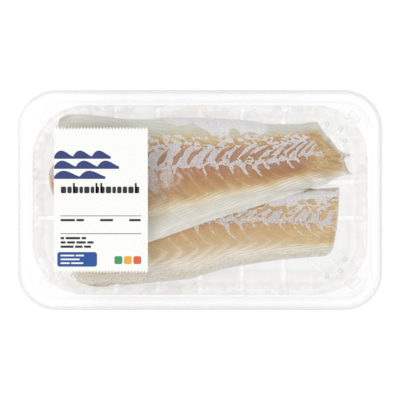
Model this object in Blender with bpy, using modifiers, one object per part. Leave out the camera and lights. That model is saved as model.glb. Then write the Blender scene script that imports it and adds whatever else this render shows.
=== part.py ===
"""Sealed clear tray of skinless cod fillets, with its lid film and its paper label.

Metres, +Z up. The origin is the middle of the footprint, on the surface that the tray stands on.
+X runs along the tray, away from the label, and +Y across it, towards the fillet that lies on top.

The tray is one thin sheet, drawn down from a flat flange into a ribbed bowl. Two fillets lie in it:
the lower one on the floor and against the wall, the upper one draped over its edge. The film spans
the flange and the label lies on the film.
"""

from dataclasses import dataclass

import bmesh
import bpy
import numpy as np

MM = 0.001

# Tray, outside sizes
TRAY_LENGTH = 240 * MM
TRAY_WIDTH = 145 * MM
FLANGE_HEIGHT = 39 * MM
SHEET = 0.6 * MM
RIM_RADIUS = 25.6 * MM

# Lip, sealing band and ledge, measured inwards from the outer edge and down from the flange
SKIRT_DEPTH = 4.5 * MM
LIP_WIDTH = 2.0 * MM
LIP_DROP = 1.8 * MM
LIP_FOOT_INSET = 0.1 * LIP_WIDTH
LIP_TURN_INSET = 0.4 * LIP_WIDTH
LIP_TURN_DROP = 0.3 * LIP_DROP
SEAL_WIDTH = 5.8 * MM
LEDGE_INSET = 9.1 * MM
LEDGE_DROP = 1.2 * MM

# Bowl: half lengths, half widths and corner radii at its mouth, wall foot and floor
MOUTH = (110.0 * MM, 62.2 * MM, 35.0 * MM)
WALL_FOOT = (104.2 * MM, 54.8 * MM, 28.0 * MM)
FLOOR_EDGE = (99.3 * MM, 47.0 * MM, 21.0 * MM)
MOUTH_ROUNDING = 1.2 * MM
MOUTH_RUN_IN = 0.05
WALL_FOOT_HEIGHT = 7.5 * MM
FLOOR_TOP = SHEET

# Stiffening ribs of the walls and the floor, with how much of their height is left at the wall
# foot, inwards and upwards
CROSS_RIB_PITCH = 27.9 * MM
CROSS_RIBS_EACH_WAY = 2
LONG_RIB_OFFSET = 12.0 * MM
RIB_HALF_WIDTH = 2.4 * MM
RIB_HEIGHT = 1.8 * MM
RIB_TOP_DEPTH = 7.0 * MM
RIB_RUN_IN = 4.0 * MM
RIB_FOOT_INWARD = 0.8 * RIB_HEIGHT
RIB_FOOT_UPWARD = 0.6 * RIB_HEIGHT

# Where the straight sides end, and the flat middle of the floor
STRAIGHT_X = 70 * MM
STRAIGHT_Y = 25 * MM
FLAT_X = 82 * MM
FLAT_Y = 36 * MM
ARC_STEPS = 8

# Lid film and label; pieces that touch keep a hairline gap
GAP = 0.3 * MM
FILM_INSET = 1.8 * MM
FILM_THICKNESS = 0.2 * MM
LABEL_THICKNESS = 0.2 * MM
LABEL_LENGTH = 95.0 * MM
LABEL_WIDTH = 61.6 * MM
LABEL_X = -65.0 * MM
LABEL_TEETH = 36
LABEL_TOOTH_DEPTH = 0.8 * MM

# What a fillet needs: height of its underside above the ribs, room to the tray's wall and its
# ribs, the least thickness where it laps up the wall, and how high up its side it is widest
REST_HEIGHT = FLOOR_TOP + RIB_HEIGHT + 2 * GAP
WALL_CLEARANCE = 0.7 * MM
RIB_CLEARANCE = 3.5 * MM
LEAST_THICKNESS = 2.5 * MM
WIDEST_SHARE = 0.4
FILLET_STEPS_LONG = 34
FILLET_STEPS_WIDE = 14
CROWDING_AT_ENDS = 0.35
DRAPE_START = 2 * MM
DRAPE_LENGTH = 16 * MM


@dataclass(frozen=True)
class Level:
    """A turn round the tray: half sizes, corner radius, height, and how ribs stand off there."""

    half_length: float
    half_width: float
    radius: float
    height: float
    rib_inward: float = 0.0
    rib_upward: float = 0.0


@dataclass(frozen=True)
class FilletShape:
    """Plan and thickness of a fillet in millimetres.

    edge_high and edge_low are points of its two long edges, end_left and end_right the reach of its
    ends at a share of its width, and thickness its crest thickness along its length. share_low and
    share_high are how much of that thickness is left at its two long edges.
    """

    edge_high: tuple
    edge_low: tuple
    end_left: tuple
    end_right: tuple
    thickness: tuple
    crest: float
    share_low: float
    share_high: float
    edge_rounding: float


LOWER_FILLET = FilletShape(
    edge_high=((-88, -24), (-67, -19), (-33, -11), (0, -5), (33, 2), (64, 6.5), (92, 8.5)),
    edge_low=((-88, -53), (-67, -57.5), (-35, -55.3), (-10, -53), (20, -45.5), (56, -40), (92, -37)),
    end_left=((0, -82), (0.3, -88), (0.7, -89.5), (1, -86)),
    end_right=((0, 84), (0.05, 87.6), (0.14, 89.6), (0.37, 91.6), (0.66, 92.9), (1, 93.6)),
    thickness=((-90, 20), (-60, 25), (-20, 23), (20, 20), (60, 17), (93, 14)),
    crest=0.45,
    share_low=0.78,
    share_high=0.45,
    edge_rounding=5.0,
)

UPPER_FILLET = FilletShape(
    edge_high=(
        (-98, 49),
        (-90, 53.5),
        (-73, 55.5),
        (-13, 55),
        (41, 50.5),
        (68, 51),
        (79, 53),
        (82, 47),
        (88.7, 36.6),
        (94, 32),
        (103, 30.2),
    ),
    edge_low=(
        (-98, -28),
        (-66, -36),
        (-34, -28),
        (11, -12.5),
        (42, -3),
        (73, 7),
        (85, 11),
        (94, 15.7),
        (103, 17.5),
    ),
    end_left=((0, -88), (0.4, -101), (0.65, -101.2), (0.85, -99.5), (1, -94.5)),
    end_right=((0, 102.8), (0.25, 100.5), (0.65, 97.8), (0.8, 98.4), (1, 102.6)),
    thickness=((-100, 19), (-50, 20), (20, 19), (60, 14), (84, 8), (101, 3.5)),
    crest=0.6,
    share_low=0.3,
    share_high=0.7,
    edge_rounding=6.0,
)


def through(points, at):
    """Values at the places given, on a smooth curve through the points that never overshoots."""
    x, y = np.array(points, float).T
    step = np.diff(x)
    slope = np.diff(y) / step
    tangent = np.zeros(len(x))
    same_way = slope[:-1] * slope[1:] > 0
    mean = 2 * slope[:-1] * slope[1:] / np.where(same_way, slope[:-1] + slope[1:], 1)
    tangent[1:-1] = np.where(same_way, mean, 0)
    tangent[0] = slope[0]
    tangent[-1] = slope[-1]
    at = np.clip(at, x[0], x[-1])
    k = np.clip(np.searchsorted(x, at, side="right") - 1, 0, len(step) - 1)
    t = (at - x[k]) / step[k]
    rise = step[k] * (tangent[k] * t * (1 - t) ** 2 - tangent[k + 1] * (1 - t) * t**2)
    return y[k] * (1 - t) ** 2 * (1 + 2 * t) + y[k + 1] * t**2 * (3 - 2 * t) + rise


def smooth_step(low, high, value):
    """0 below low, 1 above high, and a smooth rise between."""
    t = np.clip((value - low) / (high - low), 0, 1)
    return t * t * (3 - 2 * t)


def material(name, colour, roughness, alpha=1.0):
    """A plain finish for one piece."""
    made = bpy.data.materials.new(name)
    made.use_nodes = True
    shader = made.node_tree.nodes["Principled BSDF"]
    shader.inputs["Base Color"].default_value = (*colour, 1.0)
    shader.inputs["Roughness"].default_value = roughness
    shader.inputs["Metallic"].default_value = 0.0
    shader.inputs["Alpha"].default_value = alpha
    made.diffuse_color = (*colour, alpha)
    return made


def new_collection(name):
    """An empty collection linked to the scene."""
    made = bpy.data.collections.new(name)
    bpy.context.scene.collection.children.link(made)
    return made


def add_piece(collection, name, data, finish):
    """Put a mesh or a curve into the scene as one named piece with its own finish."""
    data.materials.append(finish)
    piece = bpy.data.objects.new(name, data)
    collection.objects.link(piece)
    return piece


def mesh_from(name, shape):
    """Turn an edited shape into a mesh that is shaded smooth up to its creases."""
    mesh = bpy.data.meshes.new(name)
    shape.to_mesh(mesh)
    shape.free()
    mesh.shade_smooth()
    mesh.set_sharp_from_angle(angle=np.radians(40))
    return mesh


def inset_level(inset, height):
    """A level of the flange, at the same distance from the outer edge all round."""
    return Level(TRAY_LENGTH / 2 - inset, TRAY_WIDTH / 2 - inset, RIM_RADIUS - inset, height)


def wall_level(share, height, rib_share):
    """A level of the wall, share of the way from the foot to the mouth."""
    sizes = [foot + (mouth - foot) * share for foot, mouth in zip(WALL_FOOT, MOUTH)]
    return Level(*sizes, height, rib_inward=RIB_HEIGHT * rib_share)


def wall_share(height):
    """How far up the wall a height lies, from the foot to the mouth."""
    return (height - WALL_FOOT_HEIGHT) / (FLANGE_HEIGHT - LEDGE_DROP - WALL_FOOT_HEIGHT)


def tray_levels():
    """Turns round the tray, from the foot of its skirt in to the edge of its floor."""
    rib_top = FLANGE_HEIGHT - RIB_TOP_DEPTH
    rib_full = rib_top - RIB_RUN_IN
    mouth_height = FLANGE_HEIGHT - LEDGE_DROP
    under_mouth = mouth_height - MOUTH_ROUNDING
    return [
        inset_level(0, FLANGE_HEIGHT - SKIRT_DEPTH),
        inset_level(LIP_FOOT_INSET, FLANGE_HEIGHT - LIP_DROP),
        inset_level(LIP_TURN_INSET, FLANGE_HEIGHT - LIP_TURN_DROP),
        inset_level(LIP_WIDTH, FLANGE_HEIGHT),
        inset_level(LIP_WIDTH + SEAL_WIDTH, FLANGE_HEIGHT),
        inset_level(LEDGE_INSET, mouth_height),
        Level(*MOUTH, mouth_height),
        wall_level(wall_share(under_mouth) - MOUTH_RUN_IN, under_mouth, 0),
        wall_level(wall_share(rib_top), rib_top, 0),
        wall_level(wall_share(rib_full), rib_full, 1),
        Level(*WALL_FOOT, WALL_FOOT_HEIGHT, RIB_FOOT_INWARD, RIB_FOOT_UPWARD),
        Level(*FLOOR_EDGE, FLOOR_TOP, 0, RIB_HEIGHT),
    ]


def rib_stations(middles, end):
    """Places along a side from its middle to its end, with 1 at the crest of each rib."""
    stations = {0.0: 0.0, end: 0.0}
    for middle in middles:
        for place, crest in ((middle - RIB_HALF_WIDTH, 0), (middle, 1), (middle + RIB_HALF_WIDTH, 0)):
            if place >= 0:
                stations[place] = crest
    return sorted(stations.items())


def long_stations():
    """Stations along half of a long side."""
    return rib_stations([k * CROSS_RIB_PITCH for k in range(CROSS_RIBS_EACH_WAY + 1)], STRAIGHT_X)


def short_stations():
    """Stations along half of a short side."""
    return rib_stations([LONG_RIB_OFFSET], STRAIGHT_Y)


def quarter_turn(level):
    """Points of a level round one quarter, from the middle of a long side to that of a short one."""
    turn = []
    for x, crest in long_stations():
        y = level.half_width - crest * level.rib_inward
        turn.append((x, y, level.height + crest * level.rib_upward))
    for angle in np.linspace(np.pi / 2, 0, ARC_STEPS + 1):
        x = level.half_length + level.radius * (np.cos(angle) - 1)
        y = level.half_width + level.radius * (np.sin(angle) - 1)
        turn.append((x, y, level.height))
    for y, crest in reversed(short_stations()):
        x = level.half_length - crest * level.rib_inward
        turn.append((x, y, level.height + crest * level.rib_upward))
    return turn


def flat_stations(stations, end):
    """Stations across the flat of the floor, with those that lead to the corner added."""
    corner_steps = ARC_STEPS // 2 + 1
    last = stations[-1][0]
    more = [(last + (end - last) * k / corner_steps, 0.0) for k in range(1, corner_steps + 1)]
    return stations + more


def join_rows(shape, outer, inner):
    """Fill the strip between two rows of as many points."""
    for k in range(len(outer) - 1):
        shape.faces.new((outer[k], outer[k + 1], inner[k + 1], inner[k]))


def make_tray(collection):
    """The tray: one quarter of the sheet, mirrored both ways, then given its thickness."""
    shape = bmesh.new()
    columns = flat_stations(long_stations(), FLAT_X)
    rows = flat_stations(short_stations(), FLAT_Y)
    flat = [
        [shape.verts.new((x, y, FLOOR_TOP + RIB_HEIGHT * max(a, b))) for x, a in columns]
        for y, b in rows
    ]
    for low, high in zip(flat, flat[1:]):
        join_rows(shape, high, low)
    turns = [[shape.verts.new(point) for point in quarter_turn(level)] for level in tray_levels()]
    turns.append(flat[-1] + [row[-1] for row in reversed(flat[:-1])])
    for outer, inner in zip(turns, turns[1:]):
        join_rows(shape, outer, inner)
    bmesh.ops.recalc_face_normals(shape, faces=shape.faces)
    if sum(face.normal.z for face in shape.faces) < 0:
        bmesh.ops.reverse_faces(shape, faces=shape.faces)
    finish = material("clear_pet", (0.90, 0.92, 0.93), 0.12, alpha=0.35)
    tray = add_piece(collection, "tray", mesh_from("tray", shape), finish)
    mirror = tray.modifiers.new("both_ways", "MIRROR")
    mirror.use_axis = (True, True, False)
    mirror.merge_threshold = 0.01 * MM
    wall = tray.modifiers.new("sheet", "SOLIDIFY")
    wall.thickness = SHEET
    wall.offset = -1
    wall.use_even_offset = True
    return tray


def distance_outside(sizes, x, y):
    """Distance of a point outside a rounded rectangle, negative inside it."""
    half_length, half_width, radius = sizes
    dx = np.abs(x) - (half_length - radius)
    dy = np.abs(y) - (half_width - radius)
    beyond = np.hypot(np.maximum(dx, 0), np.maximum(dy, 0))
    return beyond + np.minimum(np.maximum(dx, dy), 0) - radius


def tray_height(x, y):
    """Height of the bowl's inner face just outwards of a point, ribs left out."""
    past_floor = distance_outside(FLOOR_EDGE, x, y) + WALL_CLEARANCE
    past_foot = distance_outside(WALL_FOOT, x, y) + WALL_CLEARANCE
    past_mouth = distance_outside(MOUTH, x, y) + WALL_CLEARANCE
    slope = np.clip(past_floor / (past_floor - past_foot), 0, 1)
    wall = np.clip(past_foot / (past_foot - past_mouth), 0, 1)
    mouth_height = FLANGE_HEIGHT - LEDGE_DROP
    on_slope = FLOOR_TOP + (WALL_FOOT_HEIGHT - FLOOR_TOP) * slope
    return np.where(past_foot < 0, on_slope, WALL_FOOT_HEIGHT + (mouth_height - WALL_FOOT_HEIGHT) * wall)


def resting_height(x, y):
    """Height of a fillet's underside where it lies in the tray."""
    return np.maximum(REST_HEIGHT, tray_height(x, y) + WALL_CLEARANCE)


def clear_of_ribs(x, y, z):
    """Draw a point near a long wall inwards where one of the wall's ribs stands behind it."""
    heights = (FLOOR_TOP, WALL_FOOT_HEIGHT, FLANGE_HEIGHT - LEDGE_DROP)
    half_width = np.interp(z, heights, (FLOOR_EDGE[1], WALL_FOOT[1], MOUTH[1]))
    nearest_rib = np.round(x / CROSS_RIB_PITCH) * CROSS_RIB_PITCH
    beside_rib = 1 - smooth_step(RIB_CLEARANCE, 2 * RIB_CLEARANCE, np.abs(x - nearest_rib))
    room = half_width - WALL_CLEARANCE - RIB_HEIGHT * beside_rib
    return np.clip(y, -room, room)


def plan_point(shape, u, v):
    """Where a share u of the length and v of the width lie in plan, in metres."""
    left = through(shape.end_left, v)
    right = through(shape.end_right, v)
    x = left + (right - left) * u
    low = through(shape.edge_low, x)
    high = through(shape.edge_high, x)
    return x * MM, (low + (high - low) * v) * MM


def body_thickness(shape, x, v):
    """Thickness of a fillet's body at x, before its edges are rounded off."""
    below = 1 - (1 - shape.share_low) * (1 - v / shape.crest) ** 2
    above = 1 - (1 - shape.share_high) * ((v - shape.crest) / (1 - shape.crest)) ** 2
    return through(shape.thickness, x / MM) * np.where(v < shape.crest, below, above) * MM


def level_floor(x, y):
    """Height of the bed of the lower fillet."""
    return np.full_like(x, REST_HEIGHT)


def lower_top(x, y):
    """Height of the lower fillet's upper face, carried on level past its long edges."""
    low = through(LOWER_FILLET.edge_low, x / MM) * MM
    high = through(LOWER_FILLET.edge_high, x / MM) * MM
    v = np.clip((y - low) / (high - low), 0, 1)
    return REST_HEIGHT + body_thickness(LOWER_FILLET, x, v)


def draped_over_lower(x, y):
    """Height of the bed of the upper fillet, from the lower fillet's back down to the floor."""
    high_edge = through(LOWER_FILLET.edge_high, x / MM) * MM
    lift = 1 - smooth_step(DRAPE_START, DRAPE_START + DRAPE_LENGTH, y - high_edge)
    return REST_HEIGHT + lift * (lower_top(x, y) + 2 * GAP - REST_HEIGHT)


def edge_fullness(shape, x, u, v):
    """0 on the rim of a fillet and 1 further in than its edge rounding, along a quarter circle."""
    low = through(shape.edge_low, x / MM)
    high = through(shape.edge_high, x / MM)
    left = through(shape.end_left, v)
    right = through(shape.end_right, v)
    across = np.minimum(v, 1 - v) * (high - low)
    along = np.minimum(u, 1 - u) * (right - left)
    nearest = np.clip(np.minimum(across, along) / shape.edge_rounding, 0, 1)
    return np.sqrt(1 - (1 - nearest) ** 2)


def crowded(share):
    """Shares from 0 to 1 moved closer together near both ends."""
    return (1 - np.cos(np.pi * share)) / 2


def make_fillet(collection, name, shape, bed, finish):
    """A fillet: a flat grid for its upper face and one for its underside, shaped and joined."""
    body = bmesh.new()
    for is_top in (True, False):
        verts = bmesh.ops.create_grid(
            body,
            x_segments=FILLET_STEPS_LONG,
            y_segments=FILLET_STEPS_WIDE,
            size=0.5,
        )["verts"]
        u = np.array([vert.co.x + 0.5 for vert in verts])
        v = np.array([vert.co.y + 0.5 for vert in verts])
        u += CROWDING_AT_ENDS * (crowded(u) - u)
        v = crowded(v)
        x, y = plan_point(shape, u, v)
        bottom = np.maximum(bed(x, y), resting_height(x, y))
        top = np.maximum(bed(x, y) + body_thickness(shape, x, v), bottom + LEAST_THICKNESS)
        rim = bottom + WIDEST_SHARE * (top - bottom)
        z = rim + ((top if is_top else bottom) - rim) * edge_fullness(shape, x, u, v)
        y = clear_of_ribs(x, y, z)
        for vert, place in zip(verts, zip(x, y, z)):
            vert.co = place
    bmesh.ops.remove_doubles(body, verts=body.verts, dist=0.01 * MM)
    bmesh.ops.recalc_face_normals(body, faces=body.faces)
    if body.calc_volume(signed=True) < 0:
        bmesh.ops.reverse_faces(body, faces=body.faces)
    return add_piece(collection, name, mesh_from(name, body), finish)


def rounded_outline(half_length, half_width, radius):
    """Points of a rounded rectangle, anticlockwise."""
    points = []
    for quarter, (sx, sy) in enumerate(((1, 1), (-1, 1), (-1, -1), (1, -1))):
        for step in range(ARC_STEPS + 1):
            angle = (quarter + step / ARC_STEPS) * np.pi / 2
            x = sx * (half_length - radius) + radius * np.cos(angle)
            y = sy * (half_width - radius) + radius * np.sin(angle)
            points.append((x, y))
    return points


def serrated_outline():
    """Points of the label, with straight sides and a fine saw edge at both ends, anticlockwise."""
    pitch = LABEL_WIDTH / LABEL_TEETH
    half = LABEL_LENGTH / 2
    saw = []
    for tooth in range(LABEL_TEETH):
        x = -LABEL_WIDTH / 2 + tooth * pitch
        saw += [(x, half - LABEL_TOOTH_DEPTH), (x + pitch / 2, half)]
    saw.append((LABEL_WIDTH / 2, half - LABEL_TOOTH_DEPTH))
    return [(x, -y) for x, y in saw] + saw[::-1]


def make_sheet(collection, name, outline, thickness, location, finish):
    """A flat sheet of a given outline, whose underside is at the location's height."""
    curve = bpy.data.curves.new(name, "CURVE")
    curve.dimensions = "2D"
    curve.fill_mode = "BOTH"
    curve.extrude = thickness / 2
    spline = curve.splines.new("POLY")
    spline.points.add(len(outline) - 1)
    for point, (x, y) in zip(spline.points, outline):
        point.co = (x, y, 0, 1)
    spline.use_cyclic_u = True
    sheet = add_piece(collection, name, curve, finish)
    x, y, z = location
    sheet.location = (x, y, z + thickness / 2)
    return sheet


def make_film(collection):
    """The lid film, sealed all round to the flange."""
    half_length = TRAY_LENGTH / 2 - FILM_INSET
    half_width = TRAY_WIDTH / 2 - FILM_INSET
    outline = rounded_outline(half_length, half_width, RIM_RADIUS - FILM_INSET)
    finish = material("clear_film", (0.95, 0.96, 0.97), 0.08, alpha=0.15)
    return make_sheet(collection, "film", outline, FILM_THICKNESS, (0, 0, FLANGE_HEIGHT + GAP), finish)


def make_label(collection):
    """The paper label, on the left part of the film."""
    height = FLANGE_HEIGHT + FILM_THICKNESS + 2 * GAP
    finish = material("coated_paper", (0.95, 0.95, 0.92), 0.6)
    return make_sheet(
        collection, "label", serrated_outline(), LABEL_THICKNESS, (LABEL_X, 0, height), finish
    )


def main():
    """Clear the scene and build the pack."""
    for old in list(bpy.data.objects):
        bpy.data.objects.remove(old, do_unlink=True)
    pack = new_collection("cod_fillet_pack")
    make_tray(pack)
    flesh = (0.62, 0.42, 0.24)
    lower_finish = material("cod_flesh_lower", flesh, 0.3)
    upper_finish = material("cod_flesh_upper", flesh, 0.3)
    make_fillet(pack, "fillet_lower", LOWER_FILLET, level_floor, lower_finish)
    make_fillet(pack, "fillet_upper", UPPER_FILLET, draped_over_lower, upper_finish)
    make_film(pack)
    make_label(pack)


main()
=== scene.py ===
"""Looks of a sealed clear tray with two skinless cod fillets, its lid film and its paper label.

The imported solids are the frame. Every one of them is replaced here by a finer piece of the same form:
the thermoformed tray with its ribs, dimples and lugs, the two fillets with their muscle segments and
membrane, the film with its slight ripple, and the label with a plain printed design.
"""

import logging
import math
from dataclasses import dataclass, field
from enum import Enum
from functools import partial
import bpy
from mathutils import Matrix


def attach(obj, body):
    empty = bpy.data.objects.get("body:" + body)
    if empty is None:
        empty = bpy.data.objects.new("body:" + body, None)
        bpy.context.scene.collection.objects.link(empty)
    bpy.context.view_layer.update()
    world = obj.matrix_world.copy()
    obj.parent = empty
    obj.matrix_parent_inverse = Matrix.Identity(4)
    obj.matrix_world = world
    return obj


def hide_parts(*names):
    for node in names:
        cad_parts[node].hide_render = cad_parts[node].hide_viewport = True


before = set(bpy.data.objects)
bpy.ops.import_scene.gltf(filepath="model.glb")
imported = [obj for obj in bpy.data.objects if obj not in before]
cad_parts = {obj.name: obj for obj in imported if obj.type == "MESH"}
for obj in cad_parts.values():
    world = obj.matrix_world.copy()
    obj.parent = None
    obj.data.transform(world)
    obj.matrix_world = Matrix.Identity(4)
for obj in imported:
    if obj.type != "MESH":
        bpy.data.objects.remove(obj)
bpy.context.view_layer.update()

from types import SimpleNamespace
from typing import Callable, Sequence

import bpy
import numpy as np
from bpy.types import Node, NodeSocket
from mathutils import Vector

MM = 0.001
BODY = "root"
LOG = logging.getLogger("cod_fillet_pack")

Pair = tuple[float, float]
Triple = tuple[float, float, float]
Pairs = Sequence[Pair]
Rows = tuple[tuple[float, tuple[float, ...]], ...]
Adder = Callable[..., Node]


class Slot(Enum):
    """Names of the material slots."""

    TRAY = "tray_sheet"
    FILM = "lid_film"
    PAPER = "label_paper"
    FLESH = "cod_flesh"


def linear(hex_colour: str) -> tuple[float, float, float, float]:
    """Turn an sRGB hex colour into linear red, green, blue and alpha.

    Args:
        hex_colour: The colour as six hex digits.

    Returns:
        Linear values from 0 to 1, with alpha 1.
    """
    parts = [int(hex_colour[k : k + 2], 16) / 255 for k in (0, 2, 4)]
    red, green, blue = (p / 12.92 if p <= 0.04045 else ((p + 0.055) / 1.055) ** 2.4 for p in parts)
    return red, green, blue, 1.0


def through(points: Pairs, at: np.ndarray) -> np.ndarray:
    """Read a smooth curve through points, one that never overshoots them.

    Args:
        points: Pairs of place and value, in rising order of place.
        at: The places to read it at.

    Returns:
        The values there.
    """
    x, y = np.array(points, float).T
    step = np.diff(x)
    slope = np.diff(y) / step
    same_way = slope[:-1] * slope[1:] > 0
    mean = 2 * slope[:-1] * slope[1:] / np.where(same_way, slope[:-1] + slope[1:], 1)
    tangent = np.concatenate([slope[:1], np.where(same_way, mean, 0), slope[-1:]])
    at = np.clip(at, x[0], x[-1])
    k = np.clip(np.searchsorted(x, at, side="right") - 1, 0, len(step) - 1)
    t = (at - x[k]) / step[k]
    rise = step[k] * (tangent[k] * t * (1 - t) ** 2 - tangent[k + 1] * (1 - t) * t**2)
    return y[k] * (1 - t) ** 2 * (1 + 2 * t) + y[k + 1] * t**2 * (3 - 2 * t) + rise


def smooth_step(low: float, high: float, value: np.ndarray) -> np.ndarray:
    """Rise smoothly from 0 at low to 1 at high.

    Args:
        low: Where the rise starts.
        high: Where it ends.
        value: The places to read it at.

    Returns:
        Values from 0 to 1.
    """
    t = np.clip((value - low) / (high - low), 0, 1)
    return t * t * (3 - 2 * t)


def mottle(x: np.ndarray, y: np.ndarray, cell: Pair, seed: int, layers: int = 1) -> np.ndarray:
    """Read a smooth random pattern that is the same on every run.

    Args:
        x: Places along.
        y: Places across.
        cell: Size of the coarsest blotch, along and across.
        seed: Which pattern it is.
        layers: How many layers there are, each half as coarse and half as strong as the last.

    Returns:
        Values from about -1 to 1.
    """
    total = np.zeros_like(x)
    for layer in range(layers):
        table = np.random.default_rng(seed + layer).uniform(-1, 1, (256, 256))
        u, v = x / cell[0] * 2**layer, y / cell[1] * 2**layer
        i, j = np.floor(u).astype(int), np.floor(v).astype(int)
        s, t = smooth_step(0, 1, u - i), smooth_step(0, 1, v - j)
        low = table[i % 256, j % 256] * (1 - s) + table[(i + 1) % 256, j % 256] * s
        high = table[i % 256, (j + 1) % 256] * (1 - s) + table[(i + 1) % 256, (j + 1) % 256] * s
        total += (low * (1 - t) + high * t) / 2**layer
    return total


def lace(x: np.ndarray, y: np.ndarray, size: float, seed: int) -> tuple[np.ndarray, np.ndarray]:
    """Read a net of uneven meshes.

    Args:
        x: Places along.
        y: Places across.
        size: Mean size of a mesh.
        seed: Which net it is.

    Returns:
        How far each place lies from the nearest thread, and a random number of its mesh.
    """
    draws = np.random.default_rng(seed).uniform(0, 1, (3, 256, 256))
    column, row = np.floor(x / size).astype(int), np.floor(y / size).astype(int)
    nearest, second, mark = np.full_like(x, 1e9), np.full_like(x, 1e9), np.zeros_like(x)
    for di in (-1, 0, 1):
        for dj in (-1, 0, 1):
            i, j = (column + di) % 256, (row + dj) % 256
            middle_x = (column + di + 0.1 + 0.8 * draws[0, i, j]) * size
            middle_y = (row + dj + 0.1 + 0.8 * draws[1, i, j]) * size
            away = np.hypot(x - middle_x, y - middle_y)
            closer = away < nearest
            second = np.where(closer, nearest, np.minimum(second, away))
            mark = np.where(closer, draws[2, i, j], mark)
            nearest = np.where(closer, away, nearest)
    return (second - nearest) / 2, mark


def node(tree: bpy.types.NodeTree, kind: str, links: dict | tuple = (), **settings) -> bpy.types.Node:
    """Add one shader node, with its settings, its values and the links into it.

    Args:
        tree: The node tree of a material.
        kind: The node's type, without ShaderNode in front.
        links: What goes into each input, by name, or in order into the inputs that its settings leave
            open: a node, whose first output is taken, an output, a hex colour or a plain value. A map
            range so takes its value, the two ends that it runs between and the two that it gives.
        **settings: Attributes of the node itself.

    Returns:
        The new node.
    """
    made = tree.nodes.new(f"ShaderNode{kind}")
    for name, value in settings.items():
        setattr(made, name, value)
    if isinstance(links, tuple):
        pairs = zip([socket for socket in made.inputs if socket.enabled], links)
    else:
        pairs = ((made.inputs[name], value) for name, value in links.items())
    for socket, value in list(pairs):
        if isinstance(value, bpy.types.Node):
            value = next(output for output in value.outputs if output.enabled)
        if isinstance(value, bpy.types.NodeSocket):
            tree.links.new(value, socket)
        else:
            socket.default_value = linear(value) if isinstance(value, str) else value
    return made


def with_stops(ramp: bpy.types.Node, stops: Sequence[tuple[float, str]]) -> bpy.types.Node:
    """Give a colour ramp its stops.

    Args:
        ramp: A colour ramp node.
        stops: Place from 0 to 1 and hex colour of each stop.

    Returns:
        The same node.
    """
    elements = ramp.color_ramp.elements
    while len(elements) < len(stops):
        elements.new(0.5)
    for element, (place, colour) in zip(elements, stops):
        element.position = place
        element.color = linear(colour)
    return ramp


def new_material(name: str) -> tuple[bpy.types.Material, Adder]:
    """Start a material with an empty node tree.

    Args:
        name: What the real material is.

    Returns:
        The material, and the node function for its tree.
    """
    material = bpy.data.materials.new(name)
    material.use_nodes = True
    material.node_tree.nodes.clear()
    return material, partial(node, material.node_tree)


def deselect_all() -> None:
    """Leave nothing selected, so that an operator acts only on what is added next."""
    if bpy.context.object and bpy.context.object.mode != "OBJECT":
        bpy.ops.object.mode_set(mode="OBJECT")
    bpy.ops.object.select_all(action="DESELECT")


def select_only(piece: bpy.types.Object) -> None:
    """Select one piece alone and make it the active one.

    Args:
        piece: The piece.
    """
    deselect_all()
    piece.select_set(True)
    bpy.context.view_layer.objects.active = piece


def flat_grid(columns: int, rows: int, size: float) -> bpy.types.Object:
    """Add a flat square grid, the blank that a sheet is shaped from.

    Args:
        columns: How many cells it has along x.
        rows: How many it has along y.
        size: Its side.

    Returns:
        The grid, round the origin.
    """
    deselect_all()
    bpy.ops.mesh.primitive_grid_add(x_subdivisions=columns, y_subdivisions=rows, size=size)
    return bpy.context.object


def thicken(piece: bpy.types.Object, thickness: float, side: int) -> None:
    """Give an open sheet its thickness.

    Args:
        piece: The open mesh.
        thickness: How thick it becomes, in mm.
        side: 1 to thicken it upwards, -1 downwards.
    """
    sheet = piece.modifiers.new("sheet", "SOLIDIFY")
    sheet.thickness = thickness * MM
    sheet.offset = side
    select_only(piece)
    bpy.ops.object.modifier_apply(modifier=sheet.name)


def place_in_mesh(piece: bpy.types.Object) -> None:
    """Move a piece's place, turn and scale into its mesh, which leaves its object at the origin."""
    select_only(piece)
    bpy.ops.object.transform_apply(location=True, rotation=True, scale=True)


def join_pieces(name: str, pieces: list[bpy.types.Object]) -> bpy.types.Object:
    """Join meshes into one piece.

    Args:
        name: The new piece's name.
        pieces: The objects to join.

    Returns:
        The joined piece.
    """
    select_only(pieces[0])
    for piece in pieces:
        piece.select_set(True)
    if len(pieces) > 1:
        bpy.ops.object.join()
    joined = bpy.context.view_layer.objects.active
    joined.name = joined.data.name = name
    return joined


def select_faces(piece: bpy.types.Object, way: float) -> None:
    """Enter edit mode with only the faces selected that look straight up or down.

    Args:
        piece: The mesh.
        way: 1 for faces that look up, -1 for those that look down.
    """
    bpy.context.tool_settings.mesh_select_mode = (False, False, True)
    for face in piece.data.polygons:
        face.select = face.normal.z * way > 0.9
    bpy.ops.object.mode_set(mode="EDIT")


def rounded_block(place: Triple, size: Triple, corner: float, turn: float = 0.0) -> bpy.types.Object:
    """Make a small upright block with rounded corners.

    Args:
        place: Its middle, in mm.
        size: Its size along x, y and z before it is turned, in mm.
        corner: The radius of its corners, in mm.
        turn: How far it is turned about z, in degrees.

    Returns:
        The block, its object at the origin.
    """
    deselect_all()
    bpy.ops.mesh.primitive_cube_add(
        size=1, location=Vector(place) * MM, rotation=(0, 0, math.radians(turn)), scale=Vector(size) * MM
    )
    block = bpy.context.object
    place_in_mesh(block)
    bpy.ops.object.mode_set(mode="EDIT")
    bpy.ops.mesh.select_mode(type="EDGE")
    bpy.ops.mesh.select_all(action="DESELECT")
    bpy.ops.object.mode_set(mode="OBJECT")
    for edge in block.data.edges:
        a, b = (block.data.vertices[k].co for k in edge.vertices)
        edge.select = abs(a.z - b.z) > 0.5 * size[2] * MM
    bpy.ops.object.mode_set(mode="EDIT")
    bpy.ops.mesh.bevel(offset=corner * MM, offset_type="OFFSET", segments=4, affect="EDGES")
    bpy.ops.mesh.select_all(action="DESELECT")
    bpy.ops.object.mode_set(mode="OBJECT")
    return block


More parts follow.
